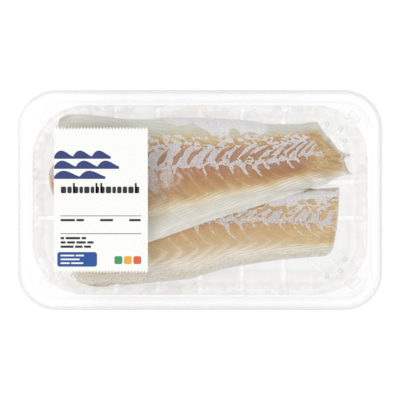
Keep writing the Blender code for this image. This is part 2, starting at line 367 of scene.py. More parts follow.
def add_marks(piece: bpy.types.Object, marks: dict[str, np.ndarray]) -> None:
    """Store a number on each point of a mesh, under each name that its finish reads."""
    for name, values in marks.items():
        piece.data.attributes.new(name, "FLOAT", "POINT").data.foreach_set("value", values)


def shade_smooth(piece: bpy.types.Object, degrees: float) -> None:
    """Shade a piece smooth, up to creases of an angle in degrees."""
    select_only(piece)
    bpy.ops.object.shade_smooth_by_angle(angle=math.radians(degrees))


def hand_over(piece: bpy.types.Object, slot: Slot, material: bpy.types.Material, *nodes: str) -> None:
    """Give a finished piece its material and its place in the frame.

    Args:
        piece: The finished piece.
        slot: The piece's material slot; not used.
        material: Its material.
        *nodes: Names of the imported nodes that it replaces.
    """
    piece.data.materials.clear()
    piece.data.materials.append(material)
    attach(piece, BODY)
    if nodes:
        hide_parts(*nodes)
    LOG.info("%s: %d faces", piece.name, len(piece.data.polygons))


def read_points(piece: bpy.types.Object) -> np.ndarray:
    """Read the points of a mesh.

    Args:
        piece: The mesh.

    Returns:
        Rows of x, y and z.
    """
    points = np.empty(len(piece.data.vertices) * 3)
    piece.data.vertices.foreach_get("co", points)
    return points.reshape(-1, 3)


def write_points(piece: bpy.types.Object, points: np.ndarray) -> None:
    """Move the points of a mesh to rows of x, y and z."""
    piece.data.vertices.foreach_set("co", points.ravel())
    piece.data.update()


@dataclass(frozen=True)
class ClearSheet:
    """Clear PET, as a thermoformed sheet or as thin lid film.

    Square on, it lets nearly all light through. At a slant it hides more of what is behind it and shows
    a pale grey. Where the forming bent it, that pale grey is painted shade and painted reflection, and the
    crests of its ribs are left clear as painted highlights. On the walls, patches of the fish's colour are
    painted refraction, the fish's colour bent towards the eye in broken angular patches. It throws no
    shadow, as clear sheet hardly does.
    """

    name: str
    colour: str
    haze_and_painted_light: float
    slant: float
    gloss: float
    refraction_colour: str = "E9D8CC"
    refraction_share: float = 0.0
    refraction_patch_size: float = 5.0
    wrinkle_size: float = 8.0
    wrinkle_reach: float = 4.0
    ripple_size: float = 25.0
    roughness: float = 0.08
    least_gloss: float = 0.02
    index: float = 1.57
    formed: bool = False

    def formed_sheet_painted_light(self, add: Adder, place: NodeSocket, share: Node) -> tuple[Node, Node]:
        """Add the formed sheet's painted light: the painted shade and reflection stored where the sheet was
        bent, and painted refraction of the fish's colour in patches on the walls.

        Args:
            add: Adds a node to the material.
            place: Where a point lies.
            share: How much of the light a flat sheet stops.

        Returns:
            The share that the formed sheet stops, and its colour.
        """
        haze_and_painted_light, wall = (add("Attribute", attribute_name=name).outputs["Fac"] for name in ("haze_and_painted_light", "wall"))
        noise = {"Vector": place, "Scale": 1 / (self.wrinkle_size * MM), "Detail": 3.0}
        bend = add("TexNoise", noise).outputs["Color"]
        bent = add("VectorMath", (bend, self.wrinkle_reach * MM), operation="SCALE")
        # Painted refraction: noise-warped Voronoi patches of the fish's colour on the walls.
        drawn = add("VectorMath", (place, (1.0, 1.0, 0.3)), operation="MULTIPLY")
        moved = add("VectorMath", (drawn, bent), operation="ADD")
        refraction_cells = add("TexVoronoi", {"Vector": moved, "Scale": 1 / (self.refraction_patch_size * MM)}).outputs["Color"]
        refraction_cell = add("SeparateXYZ", (refraction_cells,)).outputs["X"]
        tinted = add("MapRange", (refraction_cell, 0.50, 0.60))
        patch = add("Math", (tinted, wall), operation="MULTIPLY")
        colour = add("Mix", (patch, self.colour, self.refraction_colour), data_type="RGBA")
        # The stored bend marks and the refraction patches add painted light to the share that the sheet
        # stops.
        painted_light_share = add("Math", (patch, self.refraction_share, haze_and_painted_light), operation="MULTIPLY_ADD")
        return add("Math", (share, painted_light_share), operation="ADD", use_clamp=True), colour

    def material(self) -> bpy.types.Material:
        """Build the material.

        Returns:
            The material.
        """
        material, add = new_material(self.name)
        place = add("TexCoord").outputs["Object"]
        facing = add("LayerWeight", {"Blend": 0.5}).outputs["Facing"]
        share = add("MapRange", (facing, 0.35, 0.95, self.haze_and_painted_light, self.slant), interpolation_type="SMOOTHSTEP")
        colour = self.colour
        if self.formed:
            share, colour = self.formed_sheet_painted_light(add, place, share)
        glint = add("Math", (facing, 4.0), operation="POWER")
        mirror = add("Math", (glint, self.gloss, self.least_gloss), operation="MULTIPLY_ADD")
        shadow = add("LightPath").outputs["Is Shadow Ray"]
        lit = add("Math", (1.0, shadow), operation="SUBTRACT")
        share_lit = add("Math", (share, lit), operation="MULTIPLY")
        mirror_lit = add("Math", (mirror, lit), operation="MULTIPLY")
        ripple = add("TexNoise", {"Vector": place, "Scale": 1 / (self.ripple_size * MM), "Detail": 2.0})
        bump = add("Bump", {"Height": ripple, "Strength": 0.3, "Distance": 0.5 * MM})
        look = {"Base Color": colour, "Roughness": self.roughness, "IOR": self.index}
        plastic = add("BsdfPrincipled", look)
        shine = add("BsdfGlossy", {"Roughness": self.roughness, "Normal": bump})
        body = add("MixShader", (share_lit, add("BsdfTransparent"), plastic))
        add("OutputMaterial", {"Surface": add("MixShader", (mirror_lit, body, shine))})
        return material


@dataclass(frozen=True)
class PrintInk:
    """Flat offset ink on coated paper: an even colour with a faint paper mottle under it."""

    name: str
    colour: str
    mottle_colour: str
    roughness: float = 0.55
    fibre_size: float = 1.2

    def material(self) -> bpy.types.Material:
        """Build the material.

        Returns:
            The material.
        """
        material, add = new_material(self.name)
        place = add("TexCoord").outputs["Object"]
        fibre = add("TexNoise", {"Vector": place, "Scale": 1 / (self.fibre_size * MM), "Detail": 3.0})
        tone = with_stops(add("ValToRGB", (fibre,)), [(0.35, self.colour), (0.65, self.mottle_colour)])
        bump = add("Bump", {"Height": fibre, "Strength": 0.08, "Distance": 0.05 * MM})
        paper = add("BsdfPrincipled", {"Base Color": tone, "Roughness": self.roughness, "Normal": bump})
        add("OutputMaterial", {"Surface": paper})
        return material


@dataclass(frozen=True)
class Turn:
    """A turn round the tray: half sizes, corner radius, height and how ribs stand off, in mm.

    The haze is the share of light that the sheet stops there: a faint real haze and, along the bends,
    painted shade and painted reflection. Wall is 1 where the painted refraction of the fish's colour shows.
    """

    half_length: float
    half_width: float
    radius: float
    height: float
    rib_inward: float = 0.0
    rib_upward: float = 0.0
    haze_and_painted_light: float = 0.05
    wall: float = 0.0
    steps: int = 1

    def numbers(self) -> np.ndarray:
        """Return its sizes as one row."""
        sizes = [self.half_length, self.half_width, self.radius, self.height]
        return np.array([*sizes, self.rib_inward, self.rib_upward, self.haze_and_painted_light, self.wall])


@dataclass
class ClearTray:
    """The thermoformed tray: one flat sheet drawn down into a flange, a ledge and a ribbed bowl."""

    length: float = 240.0
    width: float = 145.0
    flange_height: float = 39.0
    sheet: float = 0.6
    rim_radius: float = 25.6
    mouth: Triple = (110.0, 62.2, 35.0)
    wall_foot: Triple = (104.2, 54.8, 28.0)
    floor_edge: Triple = (99.3, 47.0, 21.0)
    wall_foot_height: float = 7.5
    ledge_drop: float = 1.2
    straight_cells: tuple[int, int] = (70, 25)
    rib_pitch: float = 27.9
    cross_ribs_each_way: int = 2
    long_rib_offset: float = 12.0
    rib_half_width: float = 2.9
    rib_height: float = 1.8
    corner_ribs: tuple[tuple[float, float, float, float], ...] = (
        (90.4, 32.4, 97.4, 39.7),
        (86.4, 39.8, 94.1, 47.4),
        (73.8, 41.5, 85.2, 50.9),
    )
    corner_rib_half_width: float = 1.9
    corner_rib_height: float = 1.1
    dimple_radius: float = 1.6
    dimple_height: float = 0.9
    lug_centre: Pair = (101.2, 54.4)
    lug_size: Pair = (4.7, 8.8)
    lug_height: float = 0.9

    def inset(self, inset: float, drop: float, haze_and_painted_light: float, steps: int) -> Turn:
        """Size a turn of the flange, in mm.

        Args:
            inset: How far in from the outer edge it lies.
            drop: How far below the flange's top it lies.
            haze_and_painted_light: The share of light that the sheet stops there, painted shade and
                reflection beyond a faint real haze.
            steps: How many rows of cells lead from it to the next turn.

        Returns:
            The turn.
        """
        return Turn(
            self.length / 2 - inset,
            self.width / 2 - inset,
            self.rim_radius - inset,
            self.flange_height - drop,
            haze_and_painted_light=haze_and_painted_light,
            steps=steps,
        )

    def turns(self) -> np.ndarray:
        """Size every turn, from the skirt's foot in to the middle of the floor.

        Returns:
            A row of sizes for each turn.
        """
        straight_x, straight_y = self.straight_cells
        mouth_height = self.flange_height - self.ledge_drop
        rib, foot = self.rib_height, self.wall_foot_height
        # Each turn's haze, past a faint real haze, is painted shade and reflection: the grey lip, bevel,
        # mouth line and wall foot.
        key_turns = [
            # The skirt, the flange and the ledge inside it
            self.inset(0.0, 4.5, 0.45, 2),
            self.inset(0.1, 1.9, 0.45, 2),
            self.inset(0.7, 0.6, 0.40, 2),
            self.inset(2.0, 0.0, 0.62, 1),
            self.inset(2.7, 0.0, 0.06, 3),
            self.inset(7.6, 0.1, 0.05, 1),
            self.inset(8.3, 0.6, 0.30, 1),
            self.inset(9.0, self.ledge_drop, 0.10, 2),
            # The mouth and the upper wall
            Turn(*self.mouth, mouth_height, haze_and_painted_light=0.03, steps=1),
            Turn(109.5, 61.6, 34.5, mouth_height - 1.2, haze_and_painted_light=0.22, wall=0.4, steps=2),
            Turn(108.9, 61.1, 33.8, self.flange_height - 4.6, haze_and_painted_light=0.02, wall=1, steps=3),
            Turn(108.5, 60.6, 33.2, self.flange_height - 7.0, haze_and_painted_light=0.01, wall=1, steps=3),
            # The ribbed wall, the slope at its foot and the floor
            Turn(107.8, 59.7, 32.2, self.flange_height - 11.0, rib, 0, haze_and_painted_light=0.01, wall=1, steps=7),
            Turn(*self.wall_foot, foot, 0.8 * rib, 0.6 * rib, haze_and_painted_light=0.12, wall=0.3, steps=7),
            Turn(*self.floor_edge, self.sheet, 0, rib, haze_and_painted_light=0.16, steps=1),
            Turn(98.2, 45.9, 20.0, self.sheet, 0, rib, haze_and_painted_light=0.08, steps=20),
            Turn(straight_x, straight_y, 0.0, self.sheet, 0, rib, haze_and_painted_light=0.08),
        ]
        rows = []
        for outer, inner in zip(key_turns, key_turns[1:]):
            for k in range(outer.steps):
                share = k / outer.steps
                rows.append(outer.numbers() * (1 - share) + inner.numbers() * share)
        rows.append(key_turns[-1].numbers())
        sizes = np.array(rows)
        softened = sizes.copy()
        softened[1:-1] = (sizes[:-2] + 2 * sizes[1:-1] + sizes[2:]) / 4
        return softened

    def rib_crest(self, place: np.ndarray, middles: Sequence[float]) -> np.ndarray:
        """Find the ribs along a side.

        Args:
            place: Places along a side, in mm.
            middles: Where the ribs' middles are.

        Returns:
            1 on the crest of a rib, 0 beside it.
        """
        crest = np.zeros_like(place)
        for middle in middles:
            off = np.abs(place - middle) / self.rib_half_width
            crest = np.maximum(crest, 1 - smooth_step(0.45, 1.0, off))
        return crest

    def relief(self, x: np.ndarray, y: np.ndarray) -> np.ndarray:
        """Raise the corner ribs at places in the plan.

        Args:
            x: Places along, in mm.
            y: Places across, in mm.

        Returns:
            How far they stand up, in mm.
        """
        x, y = np.abs(x), np.abs(y)
        raised = np.zeros_like(x)
        for x0, y0, x1, y1 in self.corner_ribs:
            run = np.array([x1 - x0, y1 - y0])
            share = np.clip(((x - x0) * run[0] + (y - y0) * run[1]) / (run @ run), 0, 1)
            off = np.hypot(x - x0 - share * run[0], y - y0 - share * run[1])
            ridge = (1 + np.cos(np.pi * np.clip(off / self.corner_rib_half_width, 0, 1))) / 2
            raised = np.maximum(raised, ridge * self.corner_rib_height)
        return raised

    def lug(self, along: int, across: int) -> bpy.types.Object:
        """Raise the stacking lug on one corner's ledge, an open shell that slopes in to a flat top.

        Args:
            along: 1 for a corner on the right, -1 on the left.
            across: 1 for a far corner, -1 for a near one.

        Returns:
            The lug.
        """
        x, y = self.lug_centre[0] * along, self.lug_centre[1] * across
        middle = self.flange_height - self.ledge_drop + self.lug_height / 2
        lug = rounded_block((x, y, middle), (*self.lug_size, self.lug_height), 0.9, 45.0 * along * across)
        select_faces(lug, -1)
        bpy.ops.mesh.delete(type="ONLY_FACE")
        bpy.ops.object.mode_set(mode="OBJECT")
        select_faces(lug, 1)
        bpy.ops.transform.resize(value=(0.86, 0.90, 1), center_override=(x * MM, y * MM, 0))
        bpy.ops.mesh.inset(thickness=0.35 * MM)
        bpy.ops.object.mode_set(mode="OBJECT")
        inner = np.array([vertex.select for vertex in lug.data.vertices])
        low = read_points(lug)[:, 2] < middle * MM
        # Painted shade and reflection: a grey outline on the lug's outer slopes, none on its top.
        add_marks(lug, {"haze_and_painted_light": np.where(inner | low, 0.0, 0.60), "wall": np.zeros(len(inner))})
        return lug

    def dimple(self, x: float, y: float) -> bpy.types.Object:
        """Press the round dimple at the outer end of a corner rib.

        Args:
            x: Where the rib ends, along the tray, in mm.
            y: The same, across it.

        Returns:
            The dimple.
        """
        height = float(self.height_beside(np.array(x), np.array(y), 0.0)) + self.corner_rib_height - 0.5
        deselect_all()
        bpy.ops.mesh.primitive_uv_sphere_add(
            segments=24,
            ring_count=12,
            radius=self.dimple_radius * MM,
            location=(x * MM, y * MM, height * MM),
            scale=(1, 1, self.dimple_height / self.dimple_radius),
        )
        dimple = bpy.context.object
        place_in_mesh(dimple)
        points = read_points(dimple) / MM
        reach = np.hypot(points[:, 0] - x, points[:, 1] - y) / self.dimple_radius
        # Painted light: a grey painted ring round a clear middle that stands as a glint.
        add_marks(dimple, {"haze_and_painted_light": 0.16 * smooth_step(0.45, 0.95, reach), "wall": np.zeros(len(reach))})
        return dimple

    def form(self, column: np.ndarray, row: np.ndarray) -> tuple[np.ndarray, np.ndarray, np.ndarray]:
        """Place the points of the flat sheet on the drawn tray.

        Args:
            column: Cells from the sheet's middle, along the tray.
            row: Cells from the sheet's middle, across it.

        Returns:
            Rows of x, y and z in mm, the haze at each point with its painted shade, reflection and
            highlights, and how much of a wall it is.
        """
        sizes = self.turns()
        cells_x, cells_y = self.straight_cells
        past_x, past_y = np.abs(column) - cells_x, np.abs(row) - cells_y
        ring = np.maximum(np.maximum(past_x, past_y), 0)
        half_length, half_width, radius, height, inward, upward, haze_and_painted_light, wall = sizes[len(sizes) - 1 - ring].T
        share = np.where(past_y >= past_x, past_x, 2 * ring - past_y) / np.maximum(2 * ring, 1)
        share = np.clip(share, 0, 1)
        lead_in = half_length - radius - cells_x
        lead_out = half_width - radius - cells_y
        along = share * (lead_in + radius * np.pi / 2 + lead_out)
        turn = np.clip((along - lead_in) / np.maximum(radius, 1e-6), 0, np.pi / 2)
        corner_x = half_length - radius + radius * np.sin(turn) + np.minimum(along - lead_in, 0)
        corner_y = half_width - radius + radius * np.cos(turn)
        corner_y = corner_y - np.maximum(along - lead_in - radius * np.pi / 2, 0)
        on_long_side = (past_x <= 0) & (ring > 0)
        on_short_side = (past_y <= 0) & (ring > 0)
        across_ribs = [k * self.rib_pitch for k in range(self.cross_ribs_each_way + 1)]
        crest_x = self.rib_crest(np.abs(column).astype(float), across_ribs)
        crest_y = self.rib_crest(np.abs(row).astype(float), [self.long_rib_offset])
        x = np.where(on_long_side | (ring == 0), np.abs(column), corner_x)
        y = np.where(on_short_side | (ring == 0), np.abs(row), corner_y)
        y = y - np.where(on_long_side, crest_x * inward, 0)
        x = x - np.where(on_short_side, crest_y * inward, 0)
        crest = np.where(on_long_side, crest_x, 0) + np.where(on_short_side, crest_y, 0)
        crest = np.where(ring == 0, np.maximum(crest_x, crest_y), crest)
        relief = self.relief(x, y)
        z = height + crest * upward + relief
        points = np.stack([np.sign(column) * x, np.sign(row) * y, z], axis=1)
        # Painted light: rib crests are left clear as painted highlights and their flanks get grey painted
        # shade.
        crest = crest * np.clip(np.maximum(inward, upward), 0, 1)
        crest = np.maximum(crest, np.clip(relief / self.corner_rib_height, 0, 1))
        flank = 4 * crest * (1 - crest)
        # Painted reflection: the flange of each long side is painted a little greyer towards its middle.
        sheen = 0.05 * (1 - smooth_step(50, 95, x)) * (y > 63)
        return points, haze_and_painted_light * (1 - 0.85 * crest) + 0.08 * flank + sheen, wall

    def build(self) -> bpy.types.Object:
        """Draw a flat grid down into the tray and give it its thickness.

        Returns:
            The finished tray.
        """
        rings = len(self.turns()) - 1
        half_columns, half_rows = (cells + rings for cells in self.straight_cells)
        tray = flat_grid(2 * half_columns, 2 * half_rows, 2)
        tray.name = tray.data.name = "clear_tray"
        flat = read_points(tray)
        column = np.round(flat[:, 0] * half_columns).astype(int)
        row = np.round(flat[:, 1] * half_rows).astype(int)
        points, haze_and_painted_light, wall = self.form(column, row)
        write_points(tray, points * MM)
        add_marks(tray, {"haze_and_painted_light": haze_and_painted_light, "wall": wall})
        thicken(tray, self.sheet, -1)
        corners = [(along, across) for along in (-1, 1) for across in (-1, 1)]
        lugs = [self.lug(*corner) for corner in corners]
        ends = [rib[2:] for rib in self.corner_ribs]
        dimples = [self.dimple(x * along, y * across) for x, y in ends for along, across in corners]
        tray = join_pieces("clear_tray", [tray, *lugs, *dimples])
        shade_smooth(tray, 50)
        return tray

    def height_beside(self, x: np.ndarray, y: np.ndarray, clearance: float) -> np.ndarray:
        """Read the height of the bowl's inner face, its ribs left out.

        Args:
            x: Places along, in mm.
            y: Places across, in mm.
            clearance: How far outwards of them the height is taken.

        Returns:
            The heights in mm.
        """
        turns = (self.floor_edge, self.wall_foot, self.mouth)
        past = [self.distance(sizes, x, y) + clearance for sizes in turns]
        slope = np.clip(past[0] / (past[0] - past[1]), 0, 1)
        wall = np.clip(past[1] / (past[1] - past[2]), 0, 1)
        on_slope = self.sheet + (self.wall_foot_height - self.sheet) * slope
        wall_height = self.flange_height - self.ledge_drop - self.wall_foot_height
        return np.where(past[1] < 0, on_slope, self.wall_foot_height + wall_height * wall)

    @staticmethod
    def distance(sizes: Triple, x: np.ndarray, y: np.ndarray) -> np.ndarray:
        """Measure how far places lie from a rounded rectangle.

        Args:
            sizes: Half its length, half its width and its corner radius.
            x: Places along, in mm.
            y: Places across, in mm.

        Returns:
            Distances outwards, negative inside it.
        """
        half_length, half_width, radius = sizes
        dx = np.abs(x) - (half_length - radius)
        dy = np.abs(y) - (half_width - radius)
        beyond = np.hypot(np.maximum(dx, 0), np.maximum(dy, 0))
        return beyond + np.minimum(np.maximum(dx, dy), 0) - radius


@dataclass(frozen=True)
class Patch:
    """A torn patch of membrane, between a lower and an upper outline, in mm."""

    lower: Pairs
    upper: Pairs

    def depth(self, x: np.ndarray, y: np.ndarray) -> np.ndarray:
        """Return how deep inside the patch a place lies, negative outside it."""
        ends = np.minimum(x - self.lower[0][0], self.lower[-1][0] - x)
        return np.minimum(np.minimum(y - through(self.lower, x), through(self.upper, x) - y), ends)


@dataclass(frozen=True)
class Spots:
    """Places on a fillet, in mm: along, across, above the midline, and their segment's number and length."""

    x: np.ndarray
    y: np.ndarray
    off: np.ndarray
    number: np.ndarray
    pitch: np.ndarray


@dataclass(frozen=True)
class Membrane:
    """The silvery membrane that skinning leaves on a fillet, torn open between its muscle segments.

    Above the midline it covers each segment and leaves a lens-shaped gap at each parting. Higher up is
    a belt of torn shards, and towards the tail a lacy net. Below the midline it ends in teeth along the
    partings, over a thin pink film. Lengths are in mm, and each pair is a place along and a value there.
    Every depth is how deep a place lies inside the membrane, negative in a gap or past its edge.
    """

    midline: float
    gap: Pairs
    gap_reach: Pairs
    reach: Pairs
    net: Pairs
    tooth: float
    tooth_reach: Pairs
    film_reach: Pairs
    belt_from: float
    hole_level: Pairs
    cracks: Pairs
    patches: tuple[Patch, ...]
    seed: int
    upper_row: float = 0.0
    mesh_size: float = 3.7
    greatest_depth: float = 3.0

    def jitter(self, number: np.ndarray, salt: int) -> np.ndarray:
        """Return a random number from 0 to 1 for each parting."""
        draws = np.random.default_rng(self.seed + salt).uniform(0, 1, 128)
        return draws[np.round(number).astype(int) % 128]

    def gaps(self, at: Spots, number: np.ndarray, beside: np.ndarray) -> np.ndarray:
        """Return how deep in a lens-shaped gap at a parting each place lies.

        Args:
            at: The places.
            number: Their segment numbers.
            beside: How far they lie from the nearest parting.

        Returns:
            The depth.
        """
        draw = self.jitter(number, 1)
        top = through(self.gap_reach, at.x) * (0.85 + 0.3 * self.jitter(number, 2))
        share = np.clip((at.off - self.midline) / (top - self.midline), 0, 1)
        lens = np.sin(np.pi * share**0.9) ** 0.65
        gap = through(self.gap, at.x) * (0.6 + 0.8 * draw) * lens - beside
        gap = np.where((share > 0) & (share < 1), gap, -np.maximum(beside, 0.3))
        if self.upper_row:
            share = np.clip((at.off - 0.9 * top) / 4.5, 0, 1)
            second = self.upper_row * (0.5 + draw) * np.sin(np.pi * share) - 0.5 * beside
            gap = np.maximum(gap, np.where((share > 0) & (share < 1), second, -1))
        return gap

    def holes(self, at: Spots, number: np.ndarray) -> np.ndarray:
        """Return how deep in the holes and cracks of the torn belt each place lies.

        Args:
            at: The places.
            number: Their segment numbers.

        Returns:
            The depth.
        """
        slant_x, slant_y = 0.93 * at.x - 0.36 * at.y, 0.36 * at.x + 0.93 * at.y
        shard = mottle(slant_x, slant_y, (5.4, 2.0), self.seed + 3, 3)
        hole = 2.4 * (shard - through(self.hole_level, at.x))
        crack = 0.55 - 3.0 * np.abs(mottle(slant_x, slant_y, (9.0, 3.4), self.seed + 14, 3))
        torn = mottle(at.x, at.y, (9, 5), self.seed + 15, 2) - through(self.cracks, at.x)
        hole = np.maximum(hole, np.minimum(crack, 2 * torn))
        return np.minimum(hole, at.off - self.belt_from - 2 * self.jitter(number, 1))

    def open_net(self, at: Spots) -> np.ndarray:
        """Return how deep in an open mesh of the lacy net each place lies.

        Args:
            at: The places.

        Returns:
            The depth.
        """
        bent_x = at.x + 1.5 * mottle(at.x, at.y, (5, 5), self.seed + 4) - 0.5 * at.off
        bent_y = 1.25 * at.y + 1.2 * mottle(at.x, at.y, (4, 4), self.seed + 5)
        thread, mark = lace(bent_x, bent_y, self.mesh_size, self.seed + 6)
        open_mesh = np.where(mark < through(self.net, at.x), thread - 0.55, -1)
        return np.minimum(open_mesh, at.off - 2.5)

    def above(self, at: Spots, number: np.ndarray, beside: np.ndarray) -> np.ndarray:
        """Return the depth above the midline.

        Args:
            at: The places.
            number: Their segment numbers.
            beside: How far they lie from the nearest parting.

        Returns:
            The depth.
        """
        ragged = 1.7 * mottle(at.x, 0.3 * at.y, (3.2, 3.2), self.seed + 7, 3)
        beyond = at.off - through(self.reach, at.x) - ragged
        torn = np.maximum(self.gaps(at, number, beside), self.holes(at, number))
        return -np.maximum(torn, np.maximum(self.open_net(at), beyond))

    def below(self, at: Spots, number: np.ndarray, beside: np.ndarray) -> np.ndarray:
        """Return the depth below the midline.

        Args:
            at: The places.
            number: Their segment numbers.
            beside: How far they lie from the nearest parting.

        Returns:
            The depth.
        """
        length = through(self.tooth_reach, at.x) * (0.25 + 1.4 * self.jitter(number, 8))
        width = self.tooth * (0.3 + 1.3 * self.jitter(number, 17))
        tooth = width * (1 + at.off / np.maximum(length, 0.1)) - beside
        rim = self.midline * (1 + 0.9 * mottle(at.x, 0 * at.x, (4.5, 1), self.seed + 18, 2)) + at.off
        return np.minimum(np.maximum(rim, tooth), through(self.reach, at.x) + 1)

    def veil(self, at: Spots) -> np.ndarray:
        """Return the depth of each place in the membrane, patches and fine tears with it.

        Args:
            at: The places.

        Returns:
            The depth.
        """
        sway = 0.10 * mottle(at.x, at.y, (6, 6), self.seed + 9, 2)
        swayed = at.number + sway * smooth_step(0, 4, np.abs(at.off))
        beside = np.abs(swayed - np.round(swayed)) * at.pitch
        depth = np.where(at.off > 0, self.above(at, swayed, beside), self.below(at, swayed, beside))
        for k, patch in enumerate(self.patches):
            torn = 0.9 * mottle(at.x, at.y, (2.8, 2.8), self.seed + 20 + k, 3)
            depth = np.maximum(depth, patch.depth(at.x, at.y) + torn)
        depth += 0.50 * mottle(at.x, at.y, (1.5, 1.5), self.seed + 10, 2)
        slant_x, slant_y = 0.9 * at.x - 0.45 * at.y, 0.45 * at.x + 0.9 * at.y
        depth += 0.45 * mottle(slant_x, slant_y, (3.0, 0.9), self.seed + 16, 2)
        speck = mottle(at.x, at.y, (1.6, 1.2), self.seed + 11, 2) - 0.45 - 0.14 * np.abs(at.off)
        return np.clip(np.minimum(depth, -1.6 * speck), -self.greatest_depth, self.greatest_depth)

    def film(self, at: Spots) -> np.ndarray:
        """Return the depth of each place in the thin pink film below the midline.

        Args:
            at: The places.

        Returns:
            The depth.
        """
        swaying = mottle(at.x, at.y, (5, 5), self.seed + 19, 2) * smooth_step(-1, 3, -at.off)
        number = at.number + 0.22 * swaying
        reach = through(self.film_reach, at.x) * (0.6 + 0.8 * self.jitter(number + 0.5, 12))
        slant_x, slant_y = 0.9 * at.x + 0.45 * at.y, 0.9 * at.y - 0.45 * at.x
        blots = 3.0 * mottle(slant_x, slant_y, (2.6, 5), self.seed + 13, 4)
        beside = np.abs(number - np.round(number))
        slit = 1.6 * (beside * at.pitch - 1.0)
        bare = smooth_step(-21, -10, at.x) * (3.0 - 0.6 * (0.5 - beside) * at.pitch)
        fade = 3.0 * (1 + at.off / np.maximum(reach, 0.1)) + 0.3 + 0.45 * blots
        depth = np.minimum(np.minimum(fade, 1 - at.off), slit) - bare
        return np.clip(depth, -self.greatest_depth, self.greatest_depth)


@dataclass(frozen=True)
class Plan:
    """Points of a fillet's face in plan, in mm, with their shares along and across.

    The ends are where the fillet begins and ends at each point's share across. The edges are its low
    and high side at each point's place along.
    """

    u: np.ndarray
    v: np.ndarray
    x: np.ndarray
    y: np.ndarray
    left: np.ndarray
    right: np.ndarray
    low: np.ndarray
    high: np.ndarray


